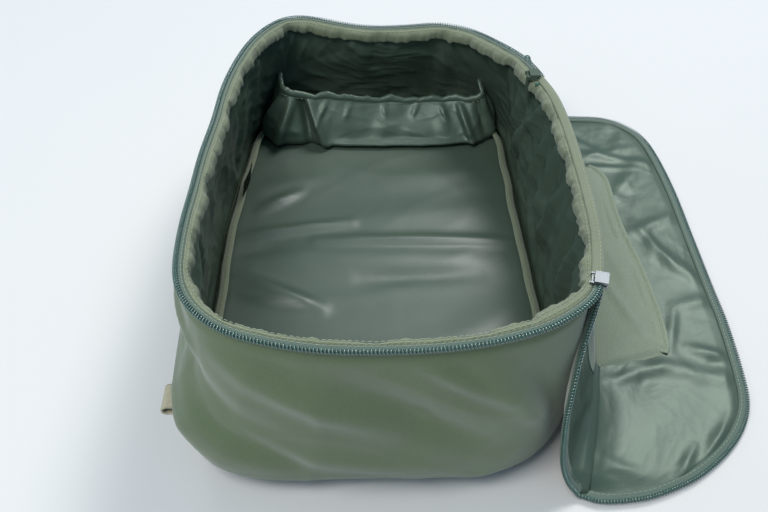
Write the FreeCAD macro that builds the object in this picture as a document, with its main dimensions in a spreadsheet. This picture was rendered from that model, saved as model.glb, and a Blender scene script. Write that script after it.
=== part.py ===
"""A clamshell tackle backpack lying on its back with its lid thrown open to one side.

The part is a parametric FreeCAD document. Millimetres, +Z up. The origin is on the floor under the middle of the
tub. The near end (-Y) is the bottom of the backpack as it is carried, the far end (+Y) its top. The tub stands on
its folded shoulder straps, is deeper at the near end, and narrows a little towards the far end. The lid is sewn to
the +X side of the rim. It hangs down beside the tub to a fold and then lies outwards on the floor.

Two coordinate frames are used. Tub pieces are drawn upright. Lid pieces are drawn closed, in the rim frame, whose
XY plane is the sloping rim plane, and their Placement swings and folds them to the open rest pose.
"""

import FreeCAD
import Part
import math
import os

import Sketcher

Vector = FreeCAD.Vector
DOC = FreeCAD.newDocument("TackleBackpack")

DRIVING = {
    # Tub outline: a rounded trapezoid, symmetric about the YZ plane.
    "half_near": 161.0,
    "half_far": 150.0,
    "half_length": 250.0,
    "corner": 88.0,
    "rim_near": 196.0,
    "rim_far": 152.0,
    # Layers under and in the back panel.
    "strap_thick": 13.0,
    "fabric": 2.0,
    "back_foam": 12.0,
    "lining": 1.2,
    "curl": 22.0,
    "wall_foam": 4.0,
    "layer_gap": 0.2,
    # Rim trim, measured from the rim plane.
    "rim_trim_drop": 13.0,
    "binding": 1.2,
    "binding_rise": 0.5,
    "tape": 1.2,
    "coil_half": 1.6,
    "coil_low": -0.8,
    "coil_high": 2.0,
    "floor_binding_tall": 10.0,
    "floor_binding_thick": 2.0,
    # Stretch of the +X rim where the lid is sewn on, along Y.
    "hinge_near": -195.0,
    "hinge_far": 108.0,
    "hinge_out": 2.0,
    "hinge_up": 7.4,
    # Lid layers, as heights above the rim plane when it is closed.
    "lid_lining_low": 2.4,
    "lid_tape_low": 3.4,
    "lid_cover_low": 5.4,
    "lid_top": 7.0,
    "lid_tape_thick": 1.2,
    "lid_tape_wide": 10.4,
    "lid_inset": 2.0,
    "fold_gap": 0.6,
    "lid_swing": 258.0,
    "notch_wide": 14.5,
    "notch_long": 18.0,
    # Mesh pocket on the inner side of the lid.
    "mesh_thick": 1.3,
    "mesh_low": 0.9,
    "mesh_hinge_inset": 15.0,
    "mesh_open_x": -92.0,
    "mesh_near": -118.0,
    "mesh_far": 156.0,
    "mesh_fold_gap": 2.0,
    "hem_wide": 11.0,
    "hem_thick": 1.6,
    # Gusseted pouch against the far wall.
    "pouch_foot_y": 168.0,
    "pouch_top_y": 196.0,
    "pouch_top_z": 86.0,
    "pouch_half_foot": 138.0,
    "pouch_half_top": 128.0,
    "pouch_half_side": 112.0,
    "pouch_side_y": 222.0,
    "pouch_fabric": 2.0,
    "pouch_hem_tall": 8.0,
    "pouch_hem_thick": 3.0,
    # Small sewn parts.
    "label_wide": 24.0,
    "label_long": 34.0,
    "label_thick": 0.8,
    "label_y": 88.0,
    "label_z": 112.0,
    "loop_wide": 25.0,
    "loop_reach": 20.0,
    "loop_radius": 7.0,
    "loop_thick": 1.8,
    "loop_z": 60.0,
    "loop_turn": 18.6,
    "handle_wide": 25.0,
    "handle_thick": 2.6,
    "handle_span": 104.0,
    "handle_reach": 32.0,
    "handle_z": 46.0,
    "handle_tab": 22.0,
    "tab_thick": 1.4,
    # Shoulder straps, folded flat under the back.
    "spine_half": 13.0,
    "strap_gap": 34.0,
    "strap_wide_top": 72.0,
    "strap_wide_low": 48.0,
    "strap_top_y": 216.0,
    "strap_waist_y": 20.0,
    "strap_low_y": -120.0,
    "strap_splay": 40.0,
    "strap_edge": 3.0,
    "webbing_wide": 25.0,
    "webbing_thick": 1.8,
    "webbing_z": 3.0,
    "lock_wide": 34.0,
    "lock_long": 30.0,
    "lock_thick": 5.0,
    "lock_bar": 4.0,
    "anchor_wide": 46.0,
    "anchor_long": 46.0,
    "anchor_thick": 3.0,
    # Zip sliders and pullers.
    "slider_wide": 9.0,
    "slider_long": 12.0,
    "slider_low": 0.5,
    "slider_high": 6.4,
    "puller_long": 27.0,
    "puller_wide": 8.0,
    "puller_thick": 1.2,
    "puller_in": 10.4,
    "puller_up": 3.0,
    "puller_pin": 1.0,
    "puller_eye": 2.2,
    "lug_in": 4.4,
    "lug_out": 5.9,
    "lug_round": 1.8,
    "stop_wide": 5.0,
    "stop_long": 3.0,
}


def fill_sheet(sheet, values):
    """Adds one row per dimension: its name, its value, and an alias for expressions."""
    used = len(sheet.getUsedCells()) // 2
    for row, (name, value) in enumerate(values.items(), start=used + 1):
        sheet.set(f"A{row}", name)
        sheet.set(f"B{row}", repr(value))
        sheet.setAlias(f"B{row}", name)
    DOC.recompute()


SHEET = DOC.addObject("Spreadsheet::Sheet", "Dims")
fill_sheet(SHEET, DRIVING)


def dim(name):
    """The value of one dimension in the sheet."""
    return float(getattr(SHEET, name))


def number(expression):
    """The number that an expression over the sheet's aliases gives now."""
    return float(SHEET.evalExpression(expression))


# The rim frame, and the lid's swing and fold. These give the derived rows of the sheet.

SLOPE = math.atan((dim("rim_near") - dim("rim_far")) / (2 * dim("half_length")))
RIM_CENTRE = Vector(0, 0, (dim("rim_near") + dim("rim_far")) / 2)
RIM_FRAME = FreeCAD.Placement(RIM_CENTRE, FreeCAD.Rotation(Vector(1, 0, 0), -math.degrees(SLOPE)))
LID_HALF = dim("half_length") / math.cos(SLOPE)


def side_half_width(y, half_length):
    """Half the outline's width at Y, on the straight sides or on the corner arcs."""
    half_near, half_far, radius = dim("half_near"), dim("half_far"), dim("corner")
    lean = (half_near - half_far) / (2 * half_length)
    half = (half_near + half_far) / 2 - lean * y
    past = abs(y) - (half_length - radius)
    if past <= 0:
        return half
    centre = (half_near + half_far) / 2 - lean * math.copysign(half_length - radius, y) - radius
    return centre + math.sqrt(radius**2 - past**2)


def hinge_point(y, half_width):
    """A point of the hinge line, in the part's frame."""
    return RIM_FRAME.multVec(Vector(half_width + dim("hinge_out"), y, dim("hinge_up")))


HINGE_START = hinge_point(-LID_HALF, dim("half_near"))
HINGE_AXIS = (hinge_point(LID_HALF, dim("half_far")) - HINGE_START).normalize()
SWING = FreeCAD.Placement(Vector(), FreeCAD.Rotation(HINGE_AXIS, dim("lid_swing")), HINGE_START)
FLANK_FRAME = SWING * RIM_FRAME


def fold_x(y):
    """Where the fold crosses Y in the closed lid: there the open lid's lining is one lid thickness above the floor."""
    low = dim("lid_lining_low")
    here = FLANK_FRAME.multVec(Vector(0, y, low)).z
    there = FLANK_FRAME.multVec(Vector(-100, y, low)).z
    return -100 * (here - (dim("lid_top") - low)) / (here - there)


FOLD_START = FLANK_FRAME.multVec(Vector(fold_x(-LID_HALF), -LID_HALF, dim("lid_lining_low")))
FOLD_END = FLANK_FRAME.multVec(Vector(fold_x(LID_HALF), LID_HALF, dim("lid_lining_low")))
FOLD_AXIS = (FOLD_END - FOLD_START).normalize()


def fold_angle():
    """The turn about the fold, in degrees, that lays the flap's outer face flat on the floor."""
    outward = FLANK_FRAME.Rotation.multVec(Vector(0, 0, 1))
    down = Vector(0, 0, -1)
    return math.degrees(math.atan2(outward.cross(down).dot(FOLD_AXIS), outward.dot(down)))


FLAP_FRAME = FreeCAD.Placement(Vector(), FreeCAD.Rotation(FOLD_AXIS, fold_angle()), FOLD_START) * FLANK_FRAME

fill_sheet(SHEET, {
    "lid_half": LID_HALF,
    "zip_near": dim("hinge_near") / math.cos(SLOPE),
    "zip_far": dim("hinge_far") / math.cos(SLOPE),
    "near_zip_x": side_half_width(dim("hinge_near") / math.cos(SLOPE) + 7, LID_HALF),
    "far_zip_x": side_half_width(dim("hinge_far") / math.cos(SLOPE) - 7, LID_HALF),
    "fold_near_x": fold_x(-LID_HALF),
    "fold_far_x": fold_x(LID_HALF),
})


# Helpers for bodies and sketches.

CUT_LENGTH = 1400.0
FAR_OUT = "400"
TUB_LENGTH = "Dims.half_length"
LID_LENGTH = "Dims.lid_half"


def new_body(name):
    """An empty PartDesign body whose label is the node's name."""
    body = DOC.addObject("PartDesign::Body", name)
    body.Label = name
    return body


def sketch_on(body, role, height=None):
    """A sketch on one of the body's own origin planes, raised along its normal by an expression."""
    sketch = body.newObject("Sketcher::SketchObject", f"{body.Name}_sketch")
    plane = next(item for item in body.Origin.OriginFeatures if item.Role == role)
    sketch.AttachmentSupport = [(plane, "")]
    sketch.MapMode = "FlatFace"
    if height is not None:
        sketch.setExpression("AttachmentOffset.Base.z", height)
    return sketch


def bind(sketch, kind, where, expression):
    """A dimension of a sketch, driven by an expression over the sheet."""
    index = sketch.addConstraint(Sketcher.Constraint(kind, *where, number(expression)))
    sketch.setExpression(f"Constraints[{index}]", expression)


def polygon(sketch, corners):
    """A closed polygon. Each corner is a pair of expressions, which drive its X and Y."""
    points = [Vector(number(x), number(y), 0) for x, y in corners]
    count = len(points)
    first = sketch.GeometryCount
    for i in range(count):
        sketch.addGeometry(Part.LineSegment(points[i], points[(i + 1) % count]), False)
    for i in range(count):
        following = first + (i + 1) % count
        sketch.addConstraint(Sketcher.Constraint("Coincident", first + i, 2, following, 1))
    for i, (x, y) in enumerate(corners):
        bind(sketch, "DistanceX", (-1, 1, first + i, 1), x)
        bind(sketch, "DistanceY", (-1, 1, first + i, 1), y)


def rectangle(sketch, x_low, x_high, y_low, y_high):
    """An upright rectangle between four expressions."""
    polygon(sketch, [(x_low, y_low), (x_high, y_low), (x_high, y_high), (x_low, y_high)])


def outline(sketch, inset, half_length):
    """The tub's rounded trapezoid, moved inwards by an expression. Four sides, and four corner arcs of one radius."""
    half_near = f"Dims.half_near - ({inset})"
    half_far = f"Dims.half_far - ({inset})"
    reach = f"{half_length} - ({inset})"
    radius = f"Dims.corner - ({inset})"
    near, far, depth, round_by = (number(item) for item in (half_near, half_far, reach, radius))
    corners = [Vector(near, -depth), Vector(far, depth), Vector(-far, depth), Vector(-near, -depth)]
    tangents = []
    for i, corner in enumerate(corners):
        before = (corners[i - 1] - corner).normalize()
        after = (corners[(i + 1) % 4] - corner).normalize()
        half_angle = before.getAngle(after) / 2
        middle = (before + after).normalize()
        centre = corner + middle * (round_by / math.sin(half_angle))
        run = round_by / math.tan(half_angle)
        tangents.append((corner + before * run, centre - middle * round_by, corner + after * run))
    first = sketch.GeometryCount
    for i, (start, mid, end) in enumerate(tangents):
        sketch.addGeometry(Part.Arc(start, mid, end), False)
        sketch.addGeometry(Part.LineSegment(end, tangents[(i + 1) % 4][0]), False)
    arcs = [first + 2 * i for i in range(4)]
    lines = [first + 2 * i + 1 for i in range(4)]
    for i in range(4):
        sketch.addConstraint(Sketcher.Constraint("Tangent", arcs[i], 2, lines[i], 1))
        sketch.addConstraint(Sketcher.Constraint("Tangent", lines[i], 2, arcs[(i + 1) % 4], 1))
    for i in range(1, 4):
        sketch.addConstraint(Sketcher.Constraint("Equal", arcs[0], arcs[i]))
    bind(sketch, "Radius", (arcs[0],), radius)
    sketch.addConstraint(Sketcher.Constraint("Horizontal", lines[1]))
    sketch.addConstraint(Sketcher.Constraint("Horizontal", lines[3]))
    bind(sketch, "DistanceY", (-1, 1, lines[1], 1), reach)
    bind(sketch, "DistanceY", (-1, 1, lines[3], 1), f"-({reach})")
    for i, corner in enumerate(corners):
        point = sketch.addGeometry(Part.Point(corner), True)
        sketch.addConstraint(Sketcher.Constraint("PointOnObject", point, 1, lines[i]))
        sketch.addConstraint(Sketcher.Constraint("PointOnObject", point, 1, lines[i - 1]))
        side = "" if corner.x > 0 else "-"
        half = half_near if corner.y < 0 else half_far
        bind(sketch, "DistanceX", (-1, 1, point, 1), f"{side}({half})")


def pad(body, sketch, length):
    """A pad upwards from its sketch."""
    feature = body.newObject("PartDesign::Pad", f"{body.Name}_pad")
    feature.Profile = sketch
    feature.setExpression("Length", length)
    return feature


def cut_through(body, sketch):
    """A pocket that goes both ways through everything."""
    feature = body.newObject("PartDesign::Pocket", f"{body.Name}_pocket")
    feature.Profile = sketch
    feature.Midplane = True
    feature.Length = CUT_LENGTH
    return feature


def slab(name, inset, low, high, half_length=TUB_LENGTH):
    """A flat plate with the tub's outline, between two heights."""
    body = new_body(name)
    sketch = sketch_on(body, "XY_Plane", low)
    outline(sketch, inset, half_length)
    pad(body, sketch, f"({high}) - ({low})")
    return body


def ring(name, outer, inner, low, high, half_length=TUB_LENGTH):
    """An upright wall with the tub's outline, between two insets and two heights."""
    body = new_body(name)
    sketch = sketch_on(body, "XY_Plane", low)
    outline(sketch, outer, half_length)
    outline(sketch, inner, half_length)
    pad(body, sketch, f"({high}) - ({low})")
    return body


def rim_height(end, rise):
    """The rim plane's height at the near or far end of the cutting sketches, raised by an expression."""
    side = {"near": "+", "far": "-"}[end]
    slope = "(Dims.rim_near - Dims.rim_far) / (2 * Dims.half_length)"
    return f"(Dims.rim_near + Dims.rim_far) / 2 {side} {slope} * {FAR_OUT} + ({rise})"


def trim_above(body, rise):
    """Cuts off what is above the sloping rim plane, raised by an expression."""
    sketch = sketch_on(body, "YZ_Plane")
    near, far = f"-{FAR_OUT}", FAR_OUT
    top = "600"
    polygon(sketch, [(near, rim_height("near", rise)), (far, rim_height("far", rise)), (far, top), (near, top)])
    return cut_through(body, sketch)


def trim_below(body, rise):
    """Cuts off what is below the sloping rim plane, raised by an expression."""
    sketch = sketch_on(body, "YZ_Plane")
    near, far = f"-{FAR_OUT}", FAR_OUT
    base = "-200"
    polygon(sketch, [(near, base), (far, base), (far, rim_height("far", rise)), (near, rim_height("near", rise))])
    return cut_through(body, sketch)


def rim_band(name, outer, inner, low, high):
    """A ring that follows the sloping rim, between two heights measured from the rim plane."""
    body = ring(name, outer, inner, "Dims.rim_far - 60", "Dims.rim_near + 60")
    trim_above(body, high)
    trim_below(body, low)
    return body


def open_at_hinge(body, low="Dims.hinge_near", high="Dims.hinge_far"):
    """Removes the stretch of a ring where the lid is sewn on, because the zip isn't there."""
    sketch = sketch_on(body, "XY_Plane")
    rectangle(sketch, "60", FAR_OUT, low, high)
    return cut_through(body, sketch)


def keep_hinge(body):
    """Removes all of a ring but the stretch where the lid is sewn on."""
    away = sketch_on(body, "XY_Plane")
    rectangle(away, f"-{FAR_OUT}", "60", f"-{FAR_OUT}", FAR_OUT)
    cut_through(body, away)
    for low, high in ((f"-{FAR_OUT}", "Dims.hinge_near"), ("Dims.hinge_far", FAR_OUT)):
        end = sketch_on(body, "XY_Plane")
        rectangle(end, "50", FAR_OUT, low, high)
        cut_through(body, end)


# The tub: outer fabric, foam and lining, on a padded back.

BACK_LOW = "Dims.strap_thick"
FOAM_LOW = f"{BACK_LOW} + Dims.fabric"
FLOOR_LOW = f"{FOAM_LOW} + Dims.back_foam"
FLOOR_TOP = f"{FLOOR_LOW} + Dims.lining"
FOAM_INSET = "Dims.fabric + Dims.layer_gap"
LINING_INSET = f"{FOAM_INSET} + Dims.wall_foam + Dims.layer_gap"
INNER_INSET = f"{LINING_INSET} + Dims.lining"


def make_outer_wall():
    """The outer fabric: an upright wall that curls in under the back, hollowed out and open at both ends."""
    body = new_body("outer_wall")
    sketch = sketch_on(body, "XY_Plane", BACK_LOW)
    outline(sketch, "0", TUB_LENGTH)
    block = pad(body, sketch, f"Dims.rim_near + 20 - ({BACK_LOW})")
    DOC.recompute()
    foot = min(edge.BoundBox.ZMax for edge in block.Shape.Edges) + 0.01
    edges = [f"Edge{i}" for i, edge in enumerate(block.Shape.Edges, start=1) if edge.BoundBox.ZMax < foot]
    curl = body.newObject("PartDesign::Fillet", "outer_wall_curl")
    curl.Base = (block, edges)
    curl.setExpression("Radius", "Dims.curl")
    DOC.recompute()
    top = dim("rim_near") + 19
    faces = [f"Face{i}" for i, face in enumerate(curl.Shape.Faces, start=1) if face.BoundBox.ZMin > top]
    shell = body.newObject("PartDesign::Thickness", "outer_wall_thickness")
    shell.Base = (curl, faces)
    shell.setExpression("Value", "Dims.fabric")
    shell.Reversed = True
    underside = sketch_on(body, "XY_Plane")
    outline(underside, "Dims.curl", TUB_LENGTH)
    cut_through(body, underside)
    trim_above(body, "-1")


def make_tub():
    """The tub's layers, from the fabric inwards."""
    make_outer_wall()
    slab("back_cover", "Dims.curl", BACK_LOW, FOAM_LOW)
    slab("back_foam", "Dims.curl + 1", FOAM_LOW, FLOOR_LOW)
    slab("floor_lining", "7", FLOOR_LOW, FLOOR_TOP)
    foam = ring("wall_foam", FOAM_INSET, f"{FOAM_INSET} + Dims.wall_foam", "36", "Dims.rim_near + 20")
    trim_above(foam, "-Dims.rim_trim_drop - 1")
    lining = ring("wall_lining", LINING_INSET, INNER_INSET, f"{FLOOR_TOP} + 0.3", "Dims.rim_near + 20")
    trim_above(lining, "-1")
    trim_inset = f"{INNER_INSET} + Dims.layer_gap"
    ring("floor_binding", trim_inset, f"{trim_inset} + Dims.floor_binding_thick", FLOOR_TOP,
         f"{FLOOR_TOP} + Dims.floor_binding_tall")
    rim_band("rim_binding", trim_inset, f"{trim_inset} + Dims.binding", "-Dims.rim_trim_drop", "Dims.binding_rise")


def make_zip_and_hinge():
    """The tub's half of the zip round the rim, and the strip that the lid is sewn to."""
    open_at_hinge(rim_band("rim_zip_tape", "-Dims.tape", "0", "-Dims.rim_trim_drop", "-1"))
    open_at_hinge(rim_band("rim_zip_coil", "-Dims.coil_half", "Dims.coil_half", "Dims.coil_low", "Dims.coil_high"))
    keep_hinge(rim_band("hinge_strip", "-1", "0", "-Dims.rim_trim_drop - 1", "-1"))
    body = new_body("zip_end_stops")
    sketch = sketch_on(body, "XY_Plane", "-0.9")
    reach = "(Dims.notch_long + 0.5)"
    for x, low, high in (
        ("Dims.near_zip_x + 1.5", f"Dims.zip_near + {reach}", f"Dims.zip_near + {reach} + Dims.stop_long"),
        ("Dims.far_zip_x - 0.5", f"Dims.zip_far - {reach} - Dims.stop_long", f"Dims.zip_far - {reach}"),
    ):
        rectangle(sketch, f"{x} - Dims.stop_wide", x, low, high)
    pad(body, sketch, "2.1")
    body.Placement = RIM_FRAME


# The lid, drawn closed in the rim frame and then opened.


def fold_line(side, gap):
    """The fold's ends as two sketch corners, moved towards the flank or the flap by a gap."""
    sign = {"flank": "+", "flap": "-"}[side]
    near = (f"Dims.fold_near_x {sign} ({gap})", "-Dims.lid_half")
    far = (f"Dims.fold_far_x {sign} ({gap})", "Dims.lid_half")
    return near, far


def keep_side(body, side, gap):
    """Cuts a lid piece at the fold and keeps the flank (hinge side) or the flap."""
    near, far = fold_line(side, gap)
    away = {"flank": f"-{FAR_OUT}", "flap": FAR_OUT}[side]
    sketch = sketch_on(body, "XY_Plane")
    lean = "(Dims.fold_far_x - Dims.fold_near_x) / (2 * Dims.lid_half) * 150"
    below = (f"{near[0]} - {lean}", f"{near[1]} - 150")
    above = (f"{far[0]} + {lean}", f"{far[1]} + 150")
    polygon(sketch, [below, above, (away, above[1]), (away, below[1])])
    cut_through(body, sketch)


def notch_for_sliders(body):
    """Room in the flank for the two sliders at the ends of the hinge."""
    for x, low, high in (
        ("Dims.near_zip_x", "Dims.zip_near - 0.6", "Dims.zip_near + Dims.notch_long"),
        ("Dims.far_zip_x", "Dims.zip_far - Dims.notch_long", "Dims.zip_far + 0.6"),
    ):
        sketch = sketch_on(body, "XY_Plane")
        rectangle(sketch, f"{x} - Dims.notch_wide", FAR_OUT, low, high)
        cut_through(body, sketch)


def finish_lid_piece(body, side, gap="Dims.fold_gap"):
    """Cuts a lid piece at the fold and puts it in its open rest pose."""
    keep_side(body, side, gap)
    if side == "flank":
        notch_for_sliders(body)
    body.Placement = {"flank": FLANK_FRAME, "flap": FLAP_FRAME}[side]


def make_lid_layers(side):
    """One side's cover, foam, lining, zip tape and zip coil."""
    tape_inner = "1.8 + Dims.lid_tape_wide"
    tape_top = "Dims.lid_tape_low + Dims.lid_tape_thick"
    layers = [
        slab(f"lid_{side}_cover", "Dims.lid_inset", "Dims.lid_cover_low", "Dims.lid_top", LID_LENGTH),
        slab(f"lid_{side}_foam", f"{tape_inner} + 0.3", "Dims.lid_tape_low", "Dims.lid_cover_low", LID_LENGTH),
        slab(f"lid_{side}_lining", "8", "Dims.lid_lining_low", "Dims.lid_tape_low", LID_LENGTH),
    ]
    trims = [
        ring(f"lid_{side}_tape", "1.8", tape_inner, "Dims.lid_tape_low", tape_top, LID_LENGTH),
        ring(f"lid_{side}_coil", "-1.4", "1.6", "Dims.lid_lining_low", "Dims.lid_lining_low + 2.8", LID_LENGTH),
    ]
    if side == "flank":
        for trim in trims:
            open_at_hinge(trim, "Dims.zip_near", "Dims.zip_far")
    for body in layers + trims:
        finish_lid_piece(body, side)


def mesh_piece(name, side, x_low, x_high, low, high, gap):
    """A piece of the mesh pocket: a plate between two X limits, inside the lid's outline."""
    body = slab(name, "Dims.mesh_hinge_inset", low, high, LID_LENGTH)
    for limits in (
        (f"-{FAR_OUT}", FAR_OUT, f"-{FAR_OUT}", "Dims.mesh_near"),
        (f"-{FAR_OUT}", FAR_OUT, "Dims.mesh_far", FAR_OUT),
        (f"-{FAR_OUT}", x_low, f"-{FAR_OUT}", FAR_OUT),
        (x_high, FAR_OUT, f"-{FAR_OUT}", FAR_OUT),
    ):
        sketch = sketch_on(body, "XY_Plane")
        rectangle(sketch, *limits)
        cut_through(body, sketch)
    finish_lid_piece(body, side, gap)


def make_mesh_pocket():
    """The flat mesh pocket that crosses the fold, with its hem along the open edge."""
    top = "Dims.mesh_low + Dims.mesh_thick"
    hem_edge = "Dims.mesh_open_x + Dims.hem_wide"
    mesh_piece("mesh_pocket_flank", "flank", "-60", "300", "Dims.mesh_low", top, "Dims.mesh_fold_gap")
    mesh_piece("mesh_pocket_flap", "flap", hem_edge, "0", "Dims.mesh_low", top, "Dims.mesh_fold_gap")
    mesh_piece("mesh_pocket_hem", "flap", "Dims.mesh_open_x", hem_edge, f"{top} - Dims.hem_thick", top, "0")


# The gusseted pouch against the far wall.


def make_pouch():
    """A leaning front panel with two sides that run back to the wall, and a hem along its top."""
    body = new_body("pouch_front")
    levels = (
        (FLOOR_TOP, "Dims.pouch_half_foot", "Dims.pouch_foot_y"),
        ("Dims.pouch_top_z", "Dims.pouch_half_top", "Dims.pouch_top_y"),
    )
    sections = []
    for height, half, front in levels:
        sketch = sketch_on(body, "XY_Plane", height)
        side = "Dims.pouch_half_side"
        inner = "Dims.pouch_fabric"
        right = [
            (f"{half}", front),
            (side, "Dims.pouch_side_y"),
            (f"{side} - {inner}", "Dims.pouch_side_y"),
            (f"{half} - {inner}", f"{front} + {inner}"),
        ]
        left = [(f"-({x})", y) for x, y in reversed(right)]
        polygon(sketch, right + left)
        sections.append(sketch)
    loft = body.newObject("PartDesign::AdditiveLoft", "pouch_front_loft")
    loft.Profile = sections[0]
    loft.Sections = [sections[1]]
    loft.Ruled = True
    hem = new_body("pouch_hem")
    sketch = sketch_on(hem, "XY_Plane", "Dims.pouch_top_z")
    rectangle(sketch, "-Dims.pouch_half_top", "Dims.pouch_half_top", "Dims.pouch_top_y - 0.5",
              "Dims.pouch_top_y - 0.5 + Dims.pouch_hem_thick")
    pad(hem, sketch, "Dims.pouch_hem_tall")


# Small sewn parts on the tub.


def box(name, x_low, x_high, y_low, y_high, low, high):
    """A plain block between six expressions."""
    body = new_body(name)
    sketch = sketch_on(body, "XY_Plane", low)
    rectangle(sketch, x_low, x_high, y_low, y_high)
    pad(body, sketch, f"({high}) - ({low})")
    return body


def make_care_label():
    """A small sewn label that hangs inside the left wall, below the rim binding."""
    face = "-((Dims.half_near + Dims.half_far) / 2) + 12.2"
    box("care_label", face, f"{face} + Dims.label_thick", "Dims.label_y - Dims.label_wide / 2",
        "Dims.label_y + Dims.label_wide / 2", "Dims.label_z", "Dims.label_z + Dims.label_long")


def arc_strip(sketch, half_span, reach, thick):
    """A curved strip that springs from the X axis and returns to it: two concentric arcs and their flat ends."""
    span, rise, deep = (number(item) for item in (half_span, reach, thick))
    radius = (span**2 + rise**2) / (2 * rise)
    drop = radius - rise
    inner_span = math.sqrt((radius - deep)**2 - drop**2)
    outer = Part.Arc(Vector(span, 0), Vector(0, rise), Vector(-span, 0))
    inner = Part.Arc(Vector(inner_span, 0), Vector(0, rise - deep), Vector(-inner_span, 0))
    sketch.addGeometry([outer, inner], False)
    sketch.addGeometry(Part.LineSegment(Vector(inner_span, 0), Vector(span, 0)), False)
    sketch.addGeometry(Part.LineSegment(Vector(-span, 0), Vector(-inner_span, 0)), False)
    for pair in ((2, 2, 0, 1), (2, 1, 1, 1), (3, 1, 0, 2), (3, 2, 1, 2), (0, 3, 1, 3)):
        sketch.addConstraint(Sketcher.Constraint("Coincident", *pair))
    sketch.addConstraint(Sketcher.Constraint("Horizontal", 2))
    sketch.addConstraint(Sketcher.Constraint("Horizontal", 3))
    bind(sketch, "DistanceX", (-1, 1, 0, 1), half_span)
    bind(sketch, "DistanceX", (-1, 1, 0, 2), f"-({half_span})")
    sketch.addConstraint(Sketcher.Constraint("PointOnObject", 0, 1, -1))
    radius_rule = f"(({half_span})^2 + ({reach})^2) / (2 * ({reach}))"
    bind(sketch, "Radius", (0,), radius_rule)
    bind(sketch, "Radius", (1,), f"{radius_rule} - ({thick})")


def make_handle():
    """The webbing grab handle on the far wall, and the two tabs it is sewn to."""
    anchor = new_body("handle_anchor")
    low = "Dims.handle_z - Dims.handle_wide / 2 - 3"
    sketch = sketch_on(anchor, "XY_Plane", low)
    outer = "Dims.handle_span / 2 + 7"
    for ends in ((f"{outer} - Dims.handle_tab", outer), (f"-({outer})", f"-({outer}) + Dims.handle_tab")):
        rectangle(sketch, *ends, "Dims.half_length", "Dims.half_length + Dims.tab_thick")
    pad(anchor, sketch, "Dims.handle_wide + 6")
    handle = new_body("grab_handle")
    strip = sketch_on(handle, "XY_Plane")
    arc_strip(strip, "Dims.handle_span / 2", "Dims.handle_reach", "Dims.handle_thick")
    pad(handle, strip, "Dims.handle_wide")
    foot = dim("half_length") + dim("tab_thick")
    handle.Placement = FreeCAD.Placement(Vector(0, foot, dim("handle_z") - dim("handle_wide") / 2),
                                         FreeCAD.Rotation())


def make_side_loop(name, mirrored):
    """A small D-shaped webbing loop on a near corner of the tub."""
    body = new_body(name)
    sketch = sketch_on(body, "XZ_Plane")
    arc_sketch_d(sketch, "Dims.loop_reach", "Dims.loop_radius", "Dims.loop_thick")
    loop = pad(body, sketch, "Dims.loop_wide")
    loop.Midplane = True
    turn = math.radians(dim("loop_turn"))
    lean = (dim("half_near") - dim("half_far")) / (2 * dim("half_length"))
    radius = dim("corner")
    centre_y = -(dim("half_length") - radius)
    centre_x = (dim("half_near") + dim("half_far")) / 2 - lean * centre_y - radius
    stand_off = radius + 0.15
    foot = Vector(centre_x + stand_off * math.cos(turn), centre_y - stand_off * math.sin(turn), dim("loop_z"))
    degrees = -math.degrees(turn)
    if mirrored:
        foot.x = -foot.x
        degrees = 180 - degrees
    body.Placement = FreeCAD.Placement(foot, FreeCAD.Rotation(Vector(0, 0, 1), degrees))


def arc_sketch_d(sketch, reach, radius, thick):
    """A D-shaped ring whose flat back lies on the sketch's Y axis."""
    for inset in ("0", thick):
        outer = f"{radius} - ({inset})"
        tip = f"{reach} - ({inset})"
        back, end, round_by = number(inset), number(tip), number(outer)
        first = sketch.GeometryCount
        middle = end - round_by
        sketch.addGeometry([
            Part.LineSegment(Vector(back, round_by), Vector(back, -round_by)),
            Part.LineSegment(Vector(back, -round_by), Vector(middle, -round_by)),
            Part.Arc(Vector(middle, -round_by), Vector(end, 0), Vector(middle, round_by)),
            Part.LineSegment(Vector(middle, round_by), Vector(back, round_by)),
        ], False)
        lines = [first, first + 1, first + 3]
        sketch.addConstraint(Sketcher.Constraint("Coincident", first, 2, first + 1, 1))
        sketch.addConstraint(Sketcher.Constraint("Tangent", first + 1, 2, first + 2, 1))
        sketch.addConstraint(Sketcher.Constraint("Tangent", first + 2, 2, first + 3, 1))
        sketch.addConstraint(Sketcher.Constraint("Coincident", first + 3, 2, first, 1))
        sketch.addConstraint(Sketcher.Constraint("Vertical", lines[0]))
        sketch.addConstraint(Sketcher.Constraint("Horizontal", lines[1]))
        sketch.addConstraint(Sketcher.Constraint("PointOnObject", first + 2, 3, -1))
        bind(sketch, "Radius", (first + 2,), outer)
        bind(sketch, "DistanceX", (-1, 1, first, 1), inset)
        bind(sketch, "DistanceX", (-1, 1, first + 2, 3), f"{tip} - ({outer})")


# The carrying straps, folded flat under the back.


def signed(sign, expression):
    """An X expression on the right (+1) or left (-1) side."""
    return expression if sign > 0 else f"-({expression})"


def strap_corners(sign, grow):
    """The plan of one shoulder strap, grown outwards by an expression."""
    inner = "Dims.strap_gap / 2"
    splay = f"{inner} + Dims.strap_splay"
    corners = [
        (f"{inner} - ({grow})", f"Dims.strap_top_y + ({grow})"),
        (f"{inner} + Dims.strap_wide_top + ({grow})", f"Dims.strap_top_y + ({grow})"),
        (f"{inner} + Dims.strap_wide_top + ({grow})", "Dims.strap_waist_y"),
        (f"{splay} + Dims.strap_wide_low + ({grow})", f"Dims.strap_low_y - ({grow})"),
        (f"{splay} - ({grow})", f"Dims.strap_low_y - ({grow})"),
        (f"{inner} - ({grow})", "Dims.strap_waist_y"),
    ]
    return [(signed(sign, x), y) for x, y in corners]


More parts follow.
